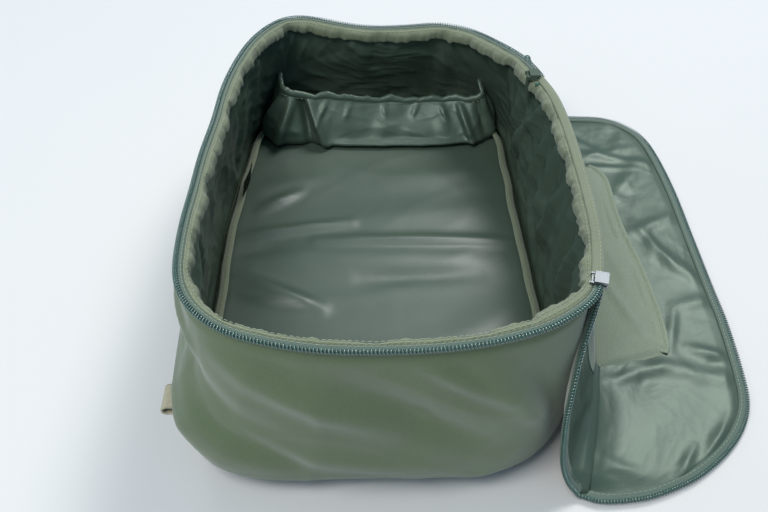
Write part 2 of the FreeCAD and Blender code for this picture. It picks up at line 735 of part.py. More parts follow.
def make_strap(side, sign):
    """One shoulder strap: padded band, edge binding, webbing tail, ladder lock and the patch it is sewn to."""
    strap = new_body(f"shoulder_strap_{side}")
    sketch = sketch_on(strap, "XY_Plane")
    polygon(sketch, strap_corners(sign, "0"))
    pad(strap, sketch, "Dims.strap_thick")
    binding = new_body(f"strap_binding_{side}")
    sketch = sketch_on(binding, "XY_Plane", "Dims.strap_thick / 2 - 2")
    polygon(sketch, strap_corners(sign, "Dims.strap_edge"))
    polygon(sketch, strap_corners(sign, "0"))
    pad(binding, sketch, "4")

    middle = "Dims.strap_gap / 2 + Dims.strap_splay + Dims.strap_wide_low / 2"
    lock_far = "Dims.strap_low_y - Dims.strap_edge"
    lock_near = f"{lock_far} - Dims.lock_long"
    lock = new_body(f"ladder_lock_{side}")
    sketch = sketch_on(lock, "XY_Plane", "Dims.webbing_z")
    limits = [signed(sign, f"{middle} {way} Dims.lock_wide / 2") for way in ("-", "+")]
    rectangle(sketch, *limits, lock_near, lock_far)
    bar = "Dims.lock_bar"
    window = f"(Dims.lock_long - 3 * {bar}) / 2"
    inside = [signed(sign, f"{middle} {way} (Dims.lock_wide / 2 - {bar})") for way in ("-", "+")]
    rectangle(sketch, *inside, f"{lock_near} + {bar}", f"{lock_near} + {bar} + {window}")
    rectangle(sketch, *inside, f"{lock_far} - {bar} - {window}", f"{lock_far} - {bar}")
    pad(lock, sketch, "Dims.lock_thick")

    webbing = new_body(f"strap_webbing_{side}")
    sketch = sketch_on(webbing, "YZ_Plane", signed(sign, middle))
    low, thick = "Dims.webbing_z - Dims.webbing_thick", "Dims.webbing_thick"
    patch_low = f"{BACK_LOW} - Dims.anchor_thick"
    path = [(f"{lock_far} - 6", low), (f"{lock_near} - 20", low),
            (f"{lock_near} - 34", f"{patch_low} - {thick}"), (f"{lock_near} - 66", f"{patch_low} - {thick}")]
    back = [(y, f"{z} + {thick}") for y, z in reversed(path)]
    polygon(sketch, path + back)
    tail = pad(webbing, sketch, "Dims.webbing_wide")
    tail.Midplane = True
    half = "Dims.anchor_wide / 2"
    limits = [signed(sign, f"{middle} {way} {half}") for way in ("-", "+")]
    box(f"strap_anchor_{side}", *limits, f"{lock_near} - 34 - Dims.anchor_long", f"{lock_near} - 34",
        patch_low, BACK_LOW)


# The zip sliders and their pullers.


def zip_frame(end):
    """The frame at one end of the hinge: on the outline in the rim plane, X outwards, Y along the zip."""
    x, y = (dim("near_zip_x"), dim("zip_near") + 7) if end == "near" else (dim("far_zip_x"), dim("zip_far") - 7)
    ahead = side_half_width(y + 0.01, LID_HALF) - side_half_width(y - 0.01, LID_HALF)
    turn = -math.degrees(math.atan2(ahead, 0.02))
    local = FreeCAD.Placement(Vector(x, y, 0), FreeCAD.Rotation(Vector(0, 0, 1), turn))
    return RIM_FRAME * local


def circle(sketch, x, y, radius):
    """A circle whose centre and radius are driven by expressions."""
    index = sketch.addGeometry(Part.Circle(Vector(number(x), number(y)), Vector(0, 0, 1), number(radius)), False)
    bind(sketch, "DistanceX", (-1, 1, index, 3), x)
    bind(sketch, "DistanceY", (-1, 1, index, 3), y)
    bind(sketch, "Radius", (index,), radius)


def make_slider(end):
    """A slider block that sits on the rim, with a groove for the coils and two bored lugs on its inner side."""
    body = new_body(f"{end}_slider")
    block = sketch_on(body, "XY_Plane", "Dims.slider_low")
    rectangle(block, "-Dims.slider_wide", "1", "-Dims.slider_long / 2", "Dims.slider_long / 2")
    pad(body, block, "Dims.slider_high - Dims.slider_low")
    lugs = sketch_on(body, "XY_Plane", "Dims.puller_up - Dims.lug_round")
    for low, high in (("-Dims.lug_out", "-Dims.lug_in"), ("Dims.lug_in", "Dims.lug_out")):
        rectangle(lugs, "-Dims.puller_in - Dims.lug_round", "-Dims.slider_wide", low, high)
    pad(body, lugs, "2 * Dims.lug_round")
    groove = sketch_on(body, "XZ_Plane")
    rectangle(groove, "-2.5", "20", "2.4", "4.2")
    cut_through(body, groove)
    bore = sketch_on(body, "XZ_Plane")
    circle(bore, "-Dims.puller_in", "Dims.puller_up", "Dims.puller_pin + 0.05")
    cut_through(body, bore)
    body.Placement = zip_frame(end)


def make_puller(end):
    """A flat pull tab with an eye at its tip, hung from the slider's lugs on a cross pin."""
    body = new_body(f"{end}_puller")
    plate = sketch_on(body, "XY_Plane", "Dims.puller_up - Dims.puller_long")
    thin = "Dims.puller_thick / 2"
    rectangle(plate, f"-Dims.puller_in - {thin}", f"-Dims.puller_in + {thin}", "-Dims.puller_wide / 2",
              "Dims.puller_wide / 2")
    pad(body, plate, "Dims.puller_long + Dims.puller_pin")
    pin = sketch_on(body, "XZ_Plane")
    circle(pin, "-Dims.puller_in", "Dims.puller_up", "Dims.puller_pin")
    shaft = pad(body, pin, "2 * Dims.lug_out + 0.6")
    shaft.Midplane = True
    eye = sketch_on(body, "YZ_Plane")
    circle(eye, "0", "Dims.puller_up - Dims.puller_long + 5", "Dims.puller_eye")
    cut_through(body, eye)
    body.Placement = zip_frame(end)


def make_all():
    """Every piece of the part."""
    make_tub()
    make_zip_and_hinge()
    for side in ("flank", "flap"):
        make_lid_layers(side)
    make_mesh_pocket()
    make_pouch()
    make_care_label()
    make_handle()
    make_side_loop("side_loop_left", True)
    make_side_loop("side_loop_right", False)
    box("spine_pad", "-Dims.spine_half", "Dims.spine_half", "-150", "Dims.strap_top_y - 10", "0", BACK_LOW)
    make_strap("left", -1)
    make_strap("right", 1)
    for end in ("near", "far"):
        make_slider(end)
        make_puller(end)
    DOC.recompute()


def check_and_export():
    """Stops on any feature that failed, and writes each body to its own STEP file."""
    for item in DOC.Objects:
        if {"Invalid", "Error"} & set(item.State):
            raise RuntimeError(f"{item.Name} failed: {item.State}")
    os.makedirs("parts", exist_ok=True)
    for body in DOC.findObjects("PartDesign::Body"):
        if body.Shape.isNull() or not body.Shape.isValid():
            raise RuntimeError(f"{body.Label} has no valid shape")
        body.Shape.exportStep(f"parts/{body.Label}.step")


make_all()
check_and_export()
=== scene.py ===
"""An open clamshell tackle backpack, lying on its back with its lid thrown over to one side."""

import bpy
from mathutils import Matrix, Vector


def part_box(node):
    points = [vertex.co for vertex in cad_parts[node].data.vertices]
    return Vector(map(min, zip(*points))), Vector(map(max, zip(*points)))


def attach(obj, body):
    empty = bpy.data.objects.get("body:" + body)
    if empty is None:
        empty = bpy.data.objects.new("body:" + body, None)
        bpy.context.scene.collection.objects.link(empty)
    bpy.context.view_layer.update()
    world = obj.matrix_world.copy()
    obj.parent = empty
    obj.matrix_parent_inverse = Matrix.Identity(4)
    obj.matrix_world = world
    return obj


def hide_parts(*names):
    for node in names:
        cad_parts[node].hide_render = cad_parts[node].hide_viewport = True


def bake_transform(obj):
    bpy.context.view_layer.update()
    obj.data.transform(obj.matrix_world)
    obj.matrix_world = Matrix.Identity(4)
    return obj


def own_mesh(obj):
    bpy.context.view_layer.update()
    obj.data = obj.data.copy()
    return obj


bl_info = {
    "name": "Tackle backpack",
    "version": (1, 0, 0),
    "blender": (4, 5, 0),
    "location": "3D View > Sidebar > Backpack",
    "description": "Sews the cloth, zips and trims of an open tackle backpack around its packed frame",
    "category": "Add Mesh",
}

import math

import bmesh
import bpy
import numpy as np
from mathutils import Matrix

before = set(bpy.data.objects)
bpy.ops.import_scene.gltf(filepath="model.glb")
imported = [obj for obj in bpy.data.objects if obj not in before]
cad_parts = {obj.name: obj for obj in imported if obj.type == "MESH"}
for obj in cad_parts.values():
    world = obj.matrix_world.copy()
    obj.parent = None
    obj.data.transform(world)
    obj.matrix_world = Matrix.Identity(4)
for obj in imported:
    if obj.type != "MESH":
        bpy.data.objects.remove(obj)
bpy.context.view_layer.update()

MM = 0.001  # shapes are worked out in millimetres and stored in metres
AROUND = 600  # points around the rim

# The rim's zip line, clockwise from the near slider, in mm: near end, left side, far end, right side.
RIM_POINTS = [
    (151, -190, 192), (144, -203, 193), (131, -215, 194), (110, -229, 195), (84, -239, 196),
    (56, -245, 196), (29, -248, 196), (2, -249, 196), (-39, -248, 196), (-66, -244, 195),
    (-91, -238, 195), (-115, -229, 194), (-134, -216, 193), (-148, -199, 191), (-157, -180, 190),
    (-161, -154, 188), (-162, -111, 184), (-160, -68, 180), (-158, -19, 176), (-153, 35, 171),
    (-150, 90, 166), (-141, 142, 162), (-128, 187, 157), (-109, 224, 151), (-89, 241, 147),
    (-65, 244, 143), (-34, 237, 140), (-2, 232, 139), (37, 232, 140), (69, 232, 142),
    (99, 216, 145), (127, 180, 151), (147, 142, 158), (158, 101, 164), (165, 68, 168),
    (168, 24, 172), (168, -18, 176), (167, -68, 180), (165, -109, 184), (162, -139, 187),
    (157, -166, 189),
]  # fmt: skip

# The lid's near edge where it hangs beside the tub: share of the way down, then x, y, z.
HANGING_EDGE = [
    (0.0, 151, -189, 191), (0.05, 149, -196, 180), (0.25, 143, -208, 150), (0.33, 138, -221, 135),
    (0.43, 134, -234, 115), (0.53, 132, -242, 95), (0.65, 133, -247, 72), (0.79, 136, -250, 45),
    (0.91, 143, -253, 20), (1.0, 154, -257, 6),
]  # fmt: skip

# The lid's free edge on the floor, from the near end of the fold to its far end: x, y.
FREE_EDGE = [
    (154, -257), (171, -263), (192, -263), (214, -260), (238, -252), (261, -241), (288, -221), (309, -198),
    (322, -172), (327, -139), (330, -80), (329, -35), (328, 36), (327, 106), (322, 166), (313, 203),
    (295, 226), (272, 237), (242, 240), (214, 241), (190, 241),
]  # fmt: skip

# The pack's driving sizes, in mm: the rim's outline and heights, then the hinge and the lid's layers, which are
# measured from the rim's plane.
NEAR_HALF, FAR_HALF, HALF_LENGTH, CORNER = 161.0, 150.0, 250.0, 88.0
RIM_NEAR, RIM_FAR = 196.0, 152.0
HINGE_OUT, HINGE_UP = 2.0, 7.4
LID_LINING_LOW, LID_TOP = 2.4, 7.0
LID_SWING = 258.0  # degrees from closed to open
FLANK_LINING = 3.8  # where the hanging part's lining is drawn
FLANK_ROWS, FLANK_COLS = 70, 150
FLOOR_Z = 28.4  # the tub's padded floor
FLAP_Z = 4.2  # the flap's lining above the ground

COIL_WIDE, COIL_TALL, COIL_WIRE = 3.6, 2.9, 1.25
STITCH, STITCH_GAP, THREAD = 3.2, 1.3, 0.55
CAMERA_SENSOR, CAMERA_LENS = 36.0, 41.484375

UP = np.array([0, 0, 1.0])
RIM_SLOPE = math.atan((RIM_NEAR - RIM_FAR) / (2 * HALF_LENGTH))
LID_HALF = HALF_LENGTH / math.cos(RIM_SLOPE)


# ---------------------------------------------------------------- colours and materials


def linear(colour):
    """The linear red, green and blue of an sRGB hex colour."""
    channels = [int(colour[i : i + 2], 16) / 255 for i in (1, 3, 5)]
    return tuple(c / 12.92 if c <= 0.04045 else ((c + 0.055) / 1.055) ** 2.4 for c in channels)


def add_node(material, kind, inputs=None, **settings):
    """Adds one node to a material. Settings are its own properties; an input is a value or a (node, output) link."""
    tree = material.node_tree
    node = tree.nodes.new(kind)
    for name, value in settings.items():
        setattr(node, name, value)
    for socket, value in (inputs or {}).items():
        if isinstance(value, tuple) and isinstance(value[0], bpy.types.Node):
            tree.links.new(value[0].outputs[value[1]], node.inputs[socket])
        else:
            node.inputs[socket].default_value = value
    return node


def new_material(name, **surface):
    """An empty material with its Principled shader, whose constants sit on the shader's own sockets."""
    material = bpy.data.materials.new(name)
    material.use_nodes = True
    material.node_tree.nodes.clear()
    shader = add_node(material, "ShaderNodeBsdfPrincipled", surface)
    add_node(material, "ShaderNodeOutputMaterial", {"Surface": (shader, "BSDF")})
    return material, shader


def rgba(colour, share=1.0):
    return tuple(min(1.0, c * share) for c in colour) + (1.0,)


def wave_scale(period_mm):
    """The Wave texture's scale for bands that repeat each period: it runs 20 radians per unit."""
    return 2 * math.pi / (20 * period_mm * MM)


def noise(material, place, scale, detail, **inputs):
    """A Noise texture in the piece's own coordinates."""
    inputs = {"Vector": (place, "Object"), "Scale": scale, "Detail": detail, **inputs}
    return add_node(material, "ShaderNodeTexNoise", inputs)


def tones(material, shader, factor, dark, light, stops=(0.0, 1.0)):
    """Colours the shader by a ramp between two tones."""
    ramp = add_node(material, "ShaderNodeValToRGB", {"Fac": factor})
    for element, stop, tone in zip(ramp.color_ramp.elements, stops, (dark, light)):
        element.position, element.color = stop, tone
    material.node_tree.links.new(ramp.outputs["Color"], shader.inputs["Base Color"])


def raised(material, height, depth, below=None):
    """A Bump node `depth` mm deep, laid over the bump below it."""
    inputs = {"Height": height, "Strength": 1.0, "Distance": depth * MM}
    if below:
        inputs["Normal"] = (below, "Normal")
    return add_node(material, "ShaderNodeBump", inputs)


def cloth_material(
    name, colour, thread, roughness, bump, mottling=0.1, crumple=0.0, crumple_size=14.0, both=True, **surface
):  # fmt: skip
    """Woven cloth: warp and weft as crossed bands `thread` mm apart, uneven dye as soft noise, and optional
    crumpling as a second, coarser bump. Thread counts finer than 1 mm are drawn near 1 mm, so they show."""
    material, shader = new_material(name, Roughness=roughness, **surface)
    place = add_node(material, "ShaderNodeTexCoord")
    warp, weft = (
        add_node(
            material, "ShaderNodeTexWave", {"Vector": (place, "UV"), "Scale": wave_scale(thread)},
            wave_type="BANDS", bands_direction=way, wave_profile="SIN",
        )
        for way in "XY"
    )  # fmt: skip
    weave = add_node(
        material, "ShaderNodeMath", {0: (warp, "Fac"), 1: (weft, "Fac") if both else 0.5},
        operation="MULTIPLY" if both else "ADD",
    )  # fmt: skip
    dye = noise(material, place, 22.0, 5.0, Roughness=0.6)
    slub = noise(material, place, 420.0, 2.0)
    tone = add_node(material, "ShaderNodeMath", {0: (dye, "Fac"), 1: (slub, "Fac")}, operation="ADD")
    shade = add_node(material, "ShaderNodeMath", {0: (tone, "Value"), 1: 0.5}, operation="MULTIPLY")
    tones(material, shader, (shade, "Value"), rgba(colour, 1 - mottling), rgba(colour, 1 + mottling), (0.3, 0.7))
    height = raised(material, (weave, "Value"), bump)
    if crumple:
        wrinkle = noise(material, place, 500.0 / crumple_size, 3.0, Roughness=0.45, Distortion=0.9)
        height = raised(material, (wrinkle, "Fac"), crumple, height)
    material.node_tree.links.new(height.outputs["Normal"], shader.inputs["Normal"])
    return material


def moulded_material(name, colour, roughness, grain=0.05, **surface):
    """Moulded or cast stock: one colour with faint mottling and a fine grained skin."""
    material, shader = new_material(name, Roughness=roughness, **surface)
    place = add_node(material, "ShaderNodeTexCoord")
    cloud = noise(material, place, 160.0, 4.0)
    tones(material, shader, (cloud, "Fac"), rgba(colour, 0.88), rgba(colour, 1.12))
    grit = noise(material, place, 1500.0, 2.0)
    skin = raised(material, (grit, "Fac"), grain)
    material.node_tree.links.new(skin.outputs["Normal"], shader.inputs["Normal"])
    return material


def finish(kind):
    """The named finish, made the first time that it is asked for."""
    found = bpy.data.materials.get(kind)
    return found or FINISHES[kind](bpy.context.scene.backpack_colours)


FINISHES = {
    # Brushed polyester canvas with a dry water-repellent finish: matte, with a soft nap at the edges.
    "brushed_polyester_canvas": lambda c: cloth_material(
        "brushed_polyester_canvas", c.outer, 1.1, 0.86, 0.10, 0.07, 0.25, 30.0,
        **{"Sheen Weight": 0.35, "Sheen Roughness": 0.5},
    ),
    # Coated 210-denier nylon: smooth plain weave with a proofing film that shines along its creases.
    "coated_nylon_lining": lambda c: cloth_material(
        "coated_nylon_lining", c.lining, 0.9, 0.41, 0.03, 0.08, 0.5, 13.0,
        **{"Specular IOR Level": 0.62, "Specular Tint": (0.84, 1.0, 0.88, 1.0)},
    ),
    # The same nylon laid over foam, which holds it smooth.
    "coated_nylon_over_foam": lambda c: cloth_material(
        "coated_nylon_over_foam", c.lining, 0.9, 0.42, 0.03, 0.08, 0.5, 40.0,
        **{"Specular IOR Level": 0.6, "Coat Weight": 0.1, "Coat Roughness": 0.35},
    ),
    # Ribbed nylon grosgrain tape: fine cross ribs, dull.
    "nylon_grosgrain": lambda c: cloth_material(
        "nylon_grosgrain", c.binding, 1.5, 0.8, 0.22, 0.08, both=False, **{"Sheen Weight": 0.2},
    ),
    # Woven polyester zip tape: flat herringbone, dull.
    "woven_zip_tape": lambda c: cloth_material(
        "woven_zip_tape", c.tape, 1.3, 0.78, 0.15, 0.08, **{"Sheen Weight": 0.15},
    ),
    # Polyester monofilament coil: dyed right through, smooth, with small bright highlights.
    "polyester_monofilament": lambda c: moulded_material(
        "polyester_monofilament", c.coil, 0.14, 0.01,
        **{"Specular IOR Level": 1.0, "Coat Weight": 1.0, "Coat Roughness": 0.14},
    ),
    # Warp-knitted polyester mesh over lining: an open diamond net, matte.
    "knitted_mesh": lambda c: cloth_material(
        "knitted_mesh", c.mesh, 1.8, 0.85, 0.35, 0.06, 0.3, 26.0, **{"Sheen Weight": 0.25},
    ),
    # Woven polypropylene webbing: coarse chevron ribs.
    "tan_polypropylene_webbing": lambda c: cloth_material(
        "tan_polypropylene_webbing", c.webbing, 1.9, 0.82, 0.35, 0.08, both=False,
    ),
    "black_polypropylene_webbing": lambda c: cloth_material(
        "black_polypropylene_webbing", linear("#1f2221"), 1.9, 0.6, 0.35, 0.15, both=False,
    ),
    # Knitted spacer mesh: springy, with round open cells.
    "spacer_mesh": lambda c: cloth_material(
        "spacer_mesh", linear("#2a2e2b"), 3.2, 0.9, 0.7, 0.15, **{"Sheen Weight": 0.2},
    ),
    # Acetal buckle resin: moulded, low sheen.
    "moulded_acetal": lambda c: moulded_material("moulded_acetal", linear("#17191a"), 0.45, 0.04),
    # Satin acetate care label: bright, fine ribs.
    "acetate_satin": lambda c: cloth_material("acetate_satin", linear("#202322"), 0.8, 0.45, 0.03, 0.05),
    # Nickel-plated zinc: cast, tumbled and plated, so bright with rounded wear.
    "nickel_plated_zinc": lambda c: moulded_material(
        "nickel_plated_zinc", linear("#84888a"), 0.4, 0.015, Metallic=1.0
    ),
    # Zinc under baked green-black lacquer: smooth and half glossy.
    "lacquered_zinc": lambda c: moulded_material("lacquered_zinc", linear("#4a5648"), 0.35, 0.02),
    # Spun polyester sewing thread.
    "sewing_thread": lambda c: moulded_material("sewing_thread", c.thread, 0.7, 0.03),
}


# ---------------------------------------------------------------- curves and surfaces


def spline(points, count, closed=False):
    """A smooth line through given points. Each span is a cubic whose end slopes are half the step between its
    neighbours, and the line is then cut into equal lengths."""
    p = np.asarray(points, float)
    ends = (p[-1:], p[:2]) if closed else (2 * p[:1] - p[1:2], 2 * p[-1:] - p[-2:-1])
    a = np.vstack([ends[0], p, ends[1]])
    spans = len(a) - 3
    t = np.linspace(0, 1, 24, endpoint=False)[None, :, None]
    p0, p1, p2, p3 = (a[i : i + spans, None, :] for i in range(4))
    bend, twist = 2 * p0 - 5 * p1 + 4 * p2 - p3, 3 * p1 - p0 - 3 * p2 + p3
    curve = 0.5 * (2 * p1 + (p2 - p0) * t + bend * t**2 + twist * t**3)
    line = np.vstack([curve.reshape(-1, p.shape[1]), a[spans + 1]])
    return even(line, count, closed)


def even(line, count, closed=False):
    """The same line with `count` points at equal distances."""
    return read_off(line, line, np.linspace(0, lengths(line)[-1], count, endpoint=not closed))


def relax(line, rounds):
    """Smooths a closed line: each point moves to the mean of itself and its neighbours, several times."""
    for _ in range(rounds):
        line = (np.roll(line, 1, 0) + 2 * line + np.roll(line, -1, 0)) / 4
    return line


def lengths(line):
    """The distance along a line at each of its points."""
    return np.concatenate([[0], np.cumsum(np.linalg.norm(np.diff(line, axis=0), axis=1))])


def read_off(values, line, stations):
    """Values known at the points of a line, read off at distances along it."""
    along = lengths(line)
    return np.stack([np.interp(stations, along, values[:, k]) for k in range(values.shape[1])], 1)


def ring_of(line):
    """The line with its first point again at its end."""
    return np.vstack([line, line[:1]])


def unit(v):
    """Vectors cut to length one."""
    return v / np.maximum(np.linalg.norm(v, axis=-1, keepdims=True), 1e-9)


def ease(t):
    """Zero below 0, one above 1 and the smooth step 3t^2 - 2t^3 in between."""
    t = np.clip(t, 0, 1)
    return t * t * (3 - 2 * t)


def tangents(line, closed=False):
    step = np.roll(line, -1, 0) - np.roll(line, 1, 0) if closed else np.gradient(line, axis=0)
    return unit(step)


def normals_of(grid, loop_rows=False, loop_cols=False):
    """Unit normals of a grid of points: the cross product of its two directions."""

    def slope(g, axis, loop):
        return np.roll(g, -1, axis) - np.roll(g, 1, axis) if loop else np.gradient(g, axis=axis)

    return unit(np.cross(slope(grid, 0, loop_rows), slope(grid, 1, loop_cols)))


def creases(u, v, table):
    """Folds pressed into cloth. Each row is a line from (u0, v0) to (u1, v1) with a width and a height, in mm.
    Height falls away from the line as a bell and fades out towards both of its ends."""
    total = np.zeros(np.broadcast(u, v).shape)
    for u0, v0, u1, v1, width, height in table:
        du, dv = u1 - u0, v1 - v0
        along = ((u - u0) * du + (v - v0) * dv) / (du * du + dv * dv)
        inside = np.clip(along, 0, 1)
        away = np.hypot(u - u0 - inside * du, v - v0 - inside * dv)
        fade = 0.35 + 0.65 * np.sin(np.pi * inside)
        total += height * fade * np.exp(-((away / width) ** 2))
    return total


def random_creases(seed, count, low, high, length, width, height, lean):
    """A table of creases with places, sizes and slants drawn from a seeded generator."""
    rng = np.random.default_rng(seed)
    start = rng.uniform(low, high, (count, 2))
    size = rng.uniform(*length, count)
    angle = rng.uniform(*lean, count)
    end = start + np.stack([np.cos(angle), np.sin(angle)], 1) * size[:, None]
    sign = rng.choice([-1.0, 1.0], count, p=[0.35, 0.65])
    return np.column_stack([start, end, rng.uniform(*width, count), rng.uniform(*height, count) * sign])


def crinkle(u, v, seed, size, height):
    """Fine crumpling with sharp ridges: waves at several slants, bent by slower waves, each folded at its zeros so
    that it peaks in a thin ridge. `size` is the mean distance between ridges in mm."""
    rng = np.random.default_rng(seed)
    total = np.zeros(np.broadcast(u, v).shape)
    for k in range(5):
        slant = rng.uniform(0, np.pi)
        period = size * rng.uniform(0.7, 1.8)
        a, b = np.cos(slant), np.sin(slant)
        along, cross = u * a + v * b, v * a - u * b
        bend = size * 0.55 * np.sin(cross / (size * rng.uniform(0.5, 1.1)) + rng.uniform(0, 6))
        patch = 0.5 + 0.5 * np.sin(cross / (size * 1.7) + along / (size * 2.6) + rng.uniform(0, 6))
        ridge = 1 - np.abs(np.sin(np.pi * (along + bend) / period + rng.uniform(0, 6)))
        total += patch * ridge**2.2
    return height * total / 2.2


def wavy(x, seed, periods, height):
    """A soft irregular wave: sines of several periods with seeded phases."""
    rng = np.random.default_rng(seed)
    phase = rng.uniform(0, 2 * np.pi, len(periods))
    return height * sum(np.sin(2 * np.pi * x / p + f) for p, f in zip(periods, phase)) / len(periods)


def new_mesh(name, points, faces, uvs=None):
    """A smooth-shaded mesh object from points in mm, a list of faces and one (u, v) in metres per face corner."""
    mesh = bpy.data.meshes.new(name)
    mesh.from_pydata((np.asarray(points) * MM).tolist(), [], faces)
    mesh.polygons.foreach_set("use_smooth", np.ones(len(mesh.polygons), bool))
    if uvs is not None:
        layer = mesh.uv_layers.new(name="Cloth")
        layer.data.foreach_set("uv", np.asarray(uvs, np.float32).ravel())
    mesh.update()
    piece = bpy.data.objects.new(name, mesh)
    bpy.context.scene.collection.objects.link(piece)
    return piece


def surface(name, grid, loop_rows=False, loop_cols=False, turned=False):
    """A sheet of quads on a grid of points in mm. Its UV map is the cloth's own lengths along both directions."""
    n, m = grid.shape[:2]
    i, j = np.meshgrid(np.arange(n if loop_rows else n - 1), np.arange(m if loop_cols else m - 1), indexing="ij")
    i2, j2 = (i + 1) % n, (j + 1) % m
    corners = [(i, j), (i2, j), (i2, j2), (i, j2)]
    if turned:
        corners = corners[::-1]
    faces = np.stack([a * m + b for a, b in corners], -1).reshape(-1, 4)
    wide = np.concatenate([grid, grid[:1]], 0)
    wide = np.concatenate([wide, wide[:, :1]], 1)
    steps_down, steps_across = (np.linalg.norm(np.diff(wide, axis=axis), axis=2) for axis in (0, 1))
    down = np.concatenate([np.zeros((1, m + 1)), np.cumsum(steps_down, 0)], 0)
    across = np.concatenate([np.zeros((n + 1, 1)), np.cumsum(steps_across, 1)], 1)
    edges = [(i, j), (i + 1, j), (i + 1, j + 1), (i, j + 1)]
    if turned:
        edges = edges[::-1]
    mean_across = across[n // 2][None, :].repeat(n + 1, 0)
    uvs = np.stack([np.stack([mean_across[a, b], down[a, b]], -1) for a, b in edges], -2).reshape(-1, 2) * MM
    return new_mesh(name, grid.reshape(-1, 3), faces.tolist(), uvs)


def thicken(piece, thickness, offset=-1.0, smooth_levels=0):
    """Gives a sheet its cloth thickness in mm with a Solidify modifier."""
    solid = piece.modifiers.new("Cloth thickness", "SOLIDIFY")
    solid.thickness, solid.offset = thickness * MM, offset
    if smooth_levels:
        sub = piece.modifiers.new("Smooth", "SUBSURF")
        sub.levels = sub.render_levels = smooth_levels
    return piece


def sweep(name, path, across, up, profile, closed_path=False, closed_profile=True, turned=False):
    """A profile of (across, up) distances carried along a path: point = path + a * across + u * up."""
    profile = np.asarray(profile, float)
    grid = (
        path[:, None, :]
        + profile[None, :, 0, None] * across[:, None, :]
        + profile[None, :, 1, None] * up[:, None, :]
    )
    return surface(name, grid, closed_path, closed_profile, turned)


def zip_coil(name, path, across, up):
    """A zip's coil: a flattened helix of wire that turns once per pitch along the path."""
    steps, sides = 10, 5  # points in a turn and round the wire
    count = int(lengths(path)[-1] / (sizes().coil_pitch / MM)) * steps + 1
    stations = np.linspace(0, lengths(path)[-1], count)
    centre, across, up = (read_off(values, path, stations) for values in (path, across, up))
    across, up = unit(across), unit(up)
    angle = (np.arange(count) * 2 * np.pi / steps)[:, None]
    line = centre + np.cos(angle) * across * COIL_WIDE / 2 + np.sin(angle) * up * COIL_TALL / 2
    out = unit(np.cos(angle) * across / COIL_WIDE + np.sin(angle) * up / COIL_TALL)
    side = unit(np.cross(tangents(line), out))
    turn = (np.arange(sides) * 2 * np.pi / sides)[None, :, None]
    grid = line[:, None, :] + COIL_WIRE / 2 * (np.cos(turn) * side[:, None, :] + np.sin(turn) * out[:, None, :])
    return surface(name, grid, loop_cols=True)


def stitch_mesh(name, path, up):
    """A row of stitches: each is a little lozenge of thread that dips into the cloth at its ends."""
    count = int(lengths(path)[-1] / (STITCH + STITCH_GAP))
    start = np.arange(count) * (STITCH + STITCH_GAP)
    stations = (start[:, None] + np.array([0.0, 0.2, 0.8, 1.0]) * STITCH).ravel()
    centre = read_off(path, path, stations).reshape(count, 4, 1, 3)
    normal = unit(read_off(up, path, stations)).reshape(count, 4, 1, 3)
    side = unit(read_off(unit(np.cross(tangents(path), up)), path, stations)).reshape(count, 4, 1, 3)
    lift = np.array([-0.2, 0.55, 0.55, -0.2]) * THREAD
    size = THREAD / 2 * np.array([0.5, 1.0, 1.0, 0.5])
    turn = np.arange(4) * np.pi / 2
    across = (size[:, None] * np.cos(turn))[None, ..., None]
    above = (lift[:, None] + size[:, None] * np.sin(turn))[None, ..., None]
    points = centre + across * side + above * normal
    quads = [
        [4 * r + k, 4 * r + 4 + k, 4 * r + 4 + (k + 1) % 4, 4 * r + (k + 1) % 4]
        for r in range(3)
        for k in range(4)
    ]
    quads += [[3, 2, 1, 0], [12, 13, 14, 15]]
    faces = (np.arange(count)[:, None, None] * 16 + np.array(quads)).reshape(-1, 4)
    return new_mesh(name, points.reshape(-1, 3), faces[:, ::-1].tolist())


def dress(piece, kind, body=None, replaced=()):
    """Gives a piece its finish, hides the frame nodes that it stands for and, when a body is given, hangs it on that
    body.
    """
    piece.data.materials.clear()
    piece.data.materials.append(finish(kind))
    if replaced:
        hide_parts(*replaced)
    if body:
        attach(piece, body)
    return piece


def sew(name, path, up, body):
    """A row of stitches in sewing thread that rides on a body."""
    return dress(stitch_mesh(name, path, up), "sewing_thread", body)


def node_box(node):
    """The low and high corners of a frame node's box, in mm."""
    low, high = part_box(node)
    return np.array(low) / MM, np.array(high) / MM


# ---------------------------------------------------------------- the tub's shape


def base_point(xy):
    """The nearest point of the tub's foot, a rounded trapezoid: out from its inner rectangle by the corner radius."""
    half = (NEAR_HALF + FAR_HALF) / 2 - (NEAR_HALF - FAR_HALF) / 2 * xy[:, 1] / HALF_LENGTH - 1.5
    near = xy[:, 1] < 0
    corner = np.where(near & (xy[:, 0] < 0), 64.0, np.where(near, 98.0, CORNER))
    cx = np.clip(xy[:, 0], -(half - corner), half - corner)
    cy = np.clip(xy[:, 1], -(HALF_LENGTH - corner), HALF_LENGTH - corner)
    centre = np.stack([cx, cy], 1)
    way = unit(xy - centre)
    splay = 15.0 * np.maximum(-way[:, 0], 0) * (1 - ease((xy[:, 1] - 10) / 190))  # the slack left side leans out
    return centre + corner[:, None] * way - np.stack([splay, 0 * splay], 1)


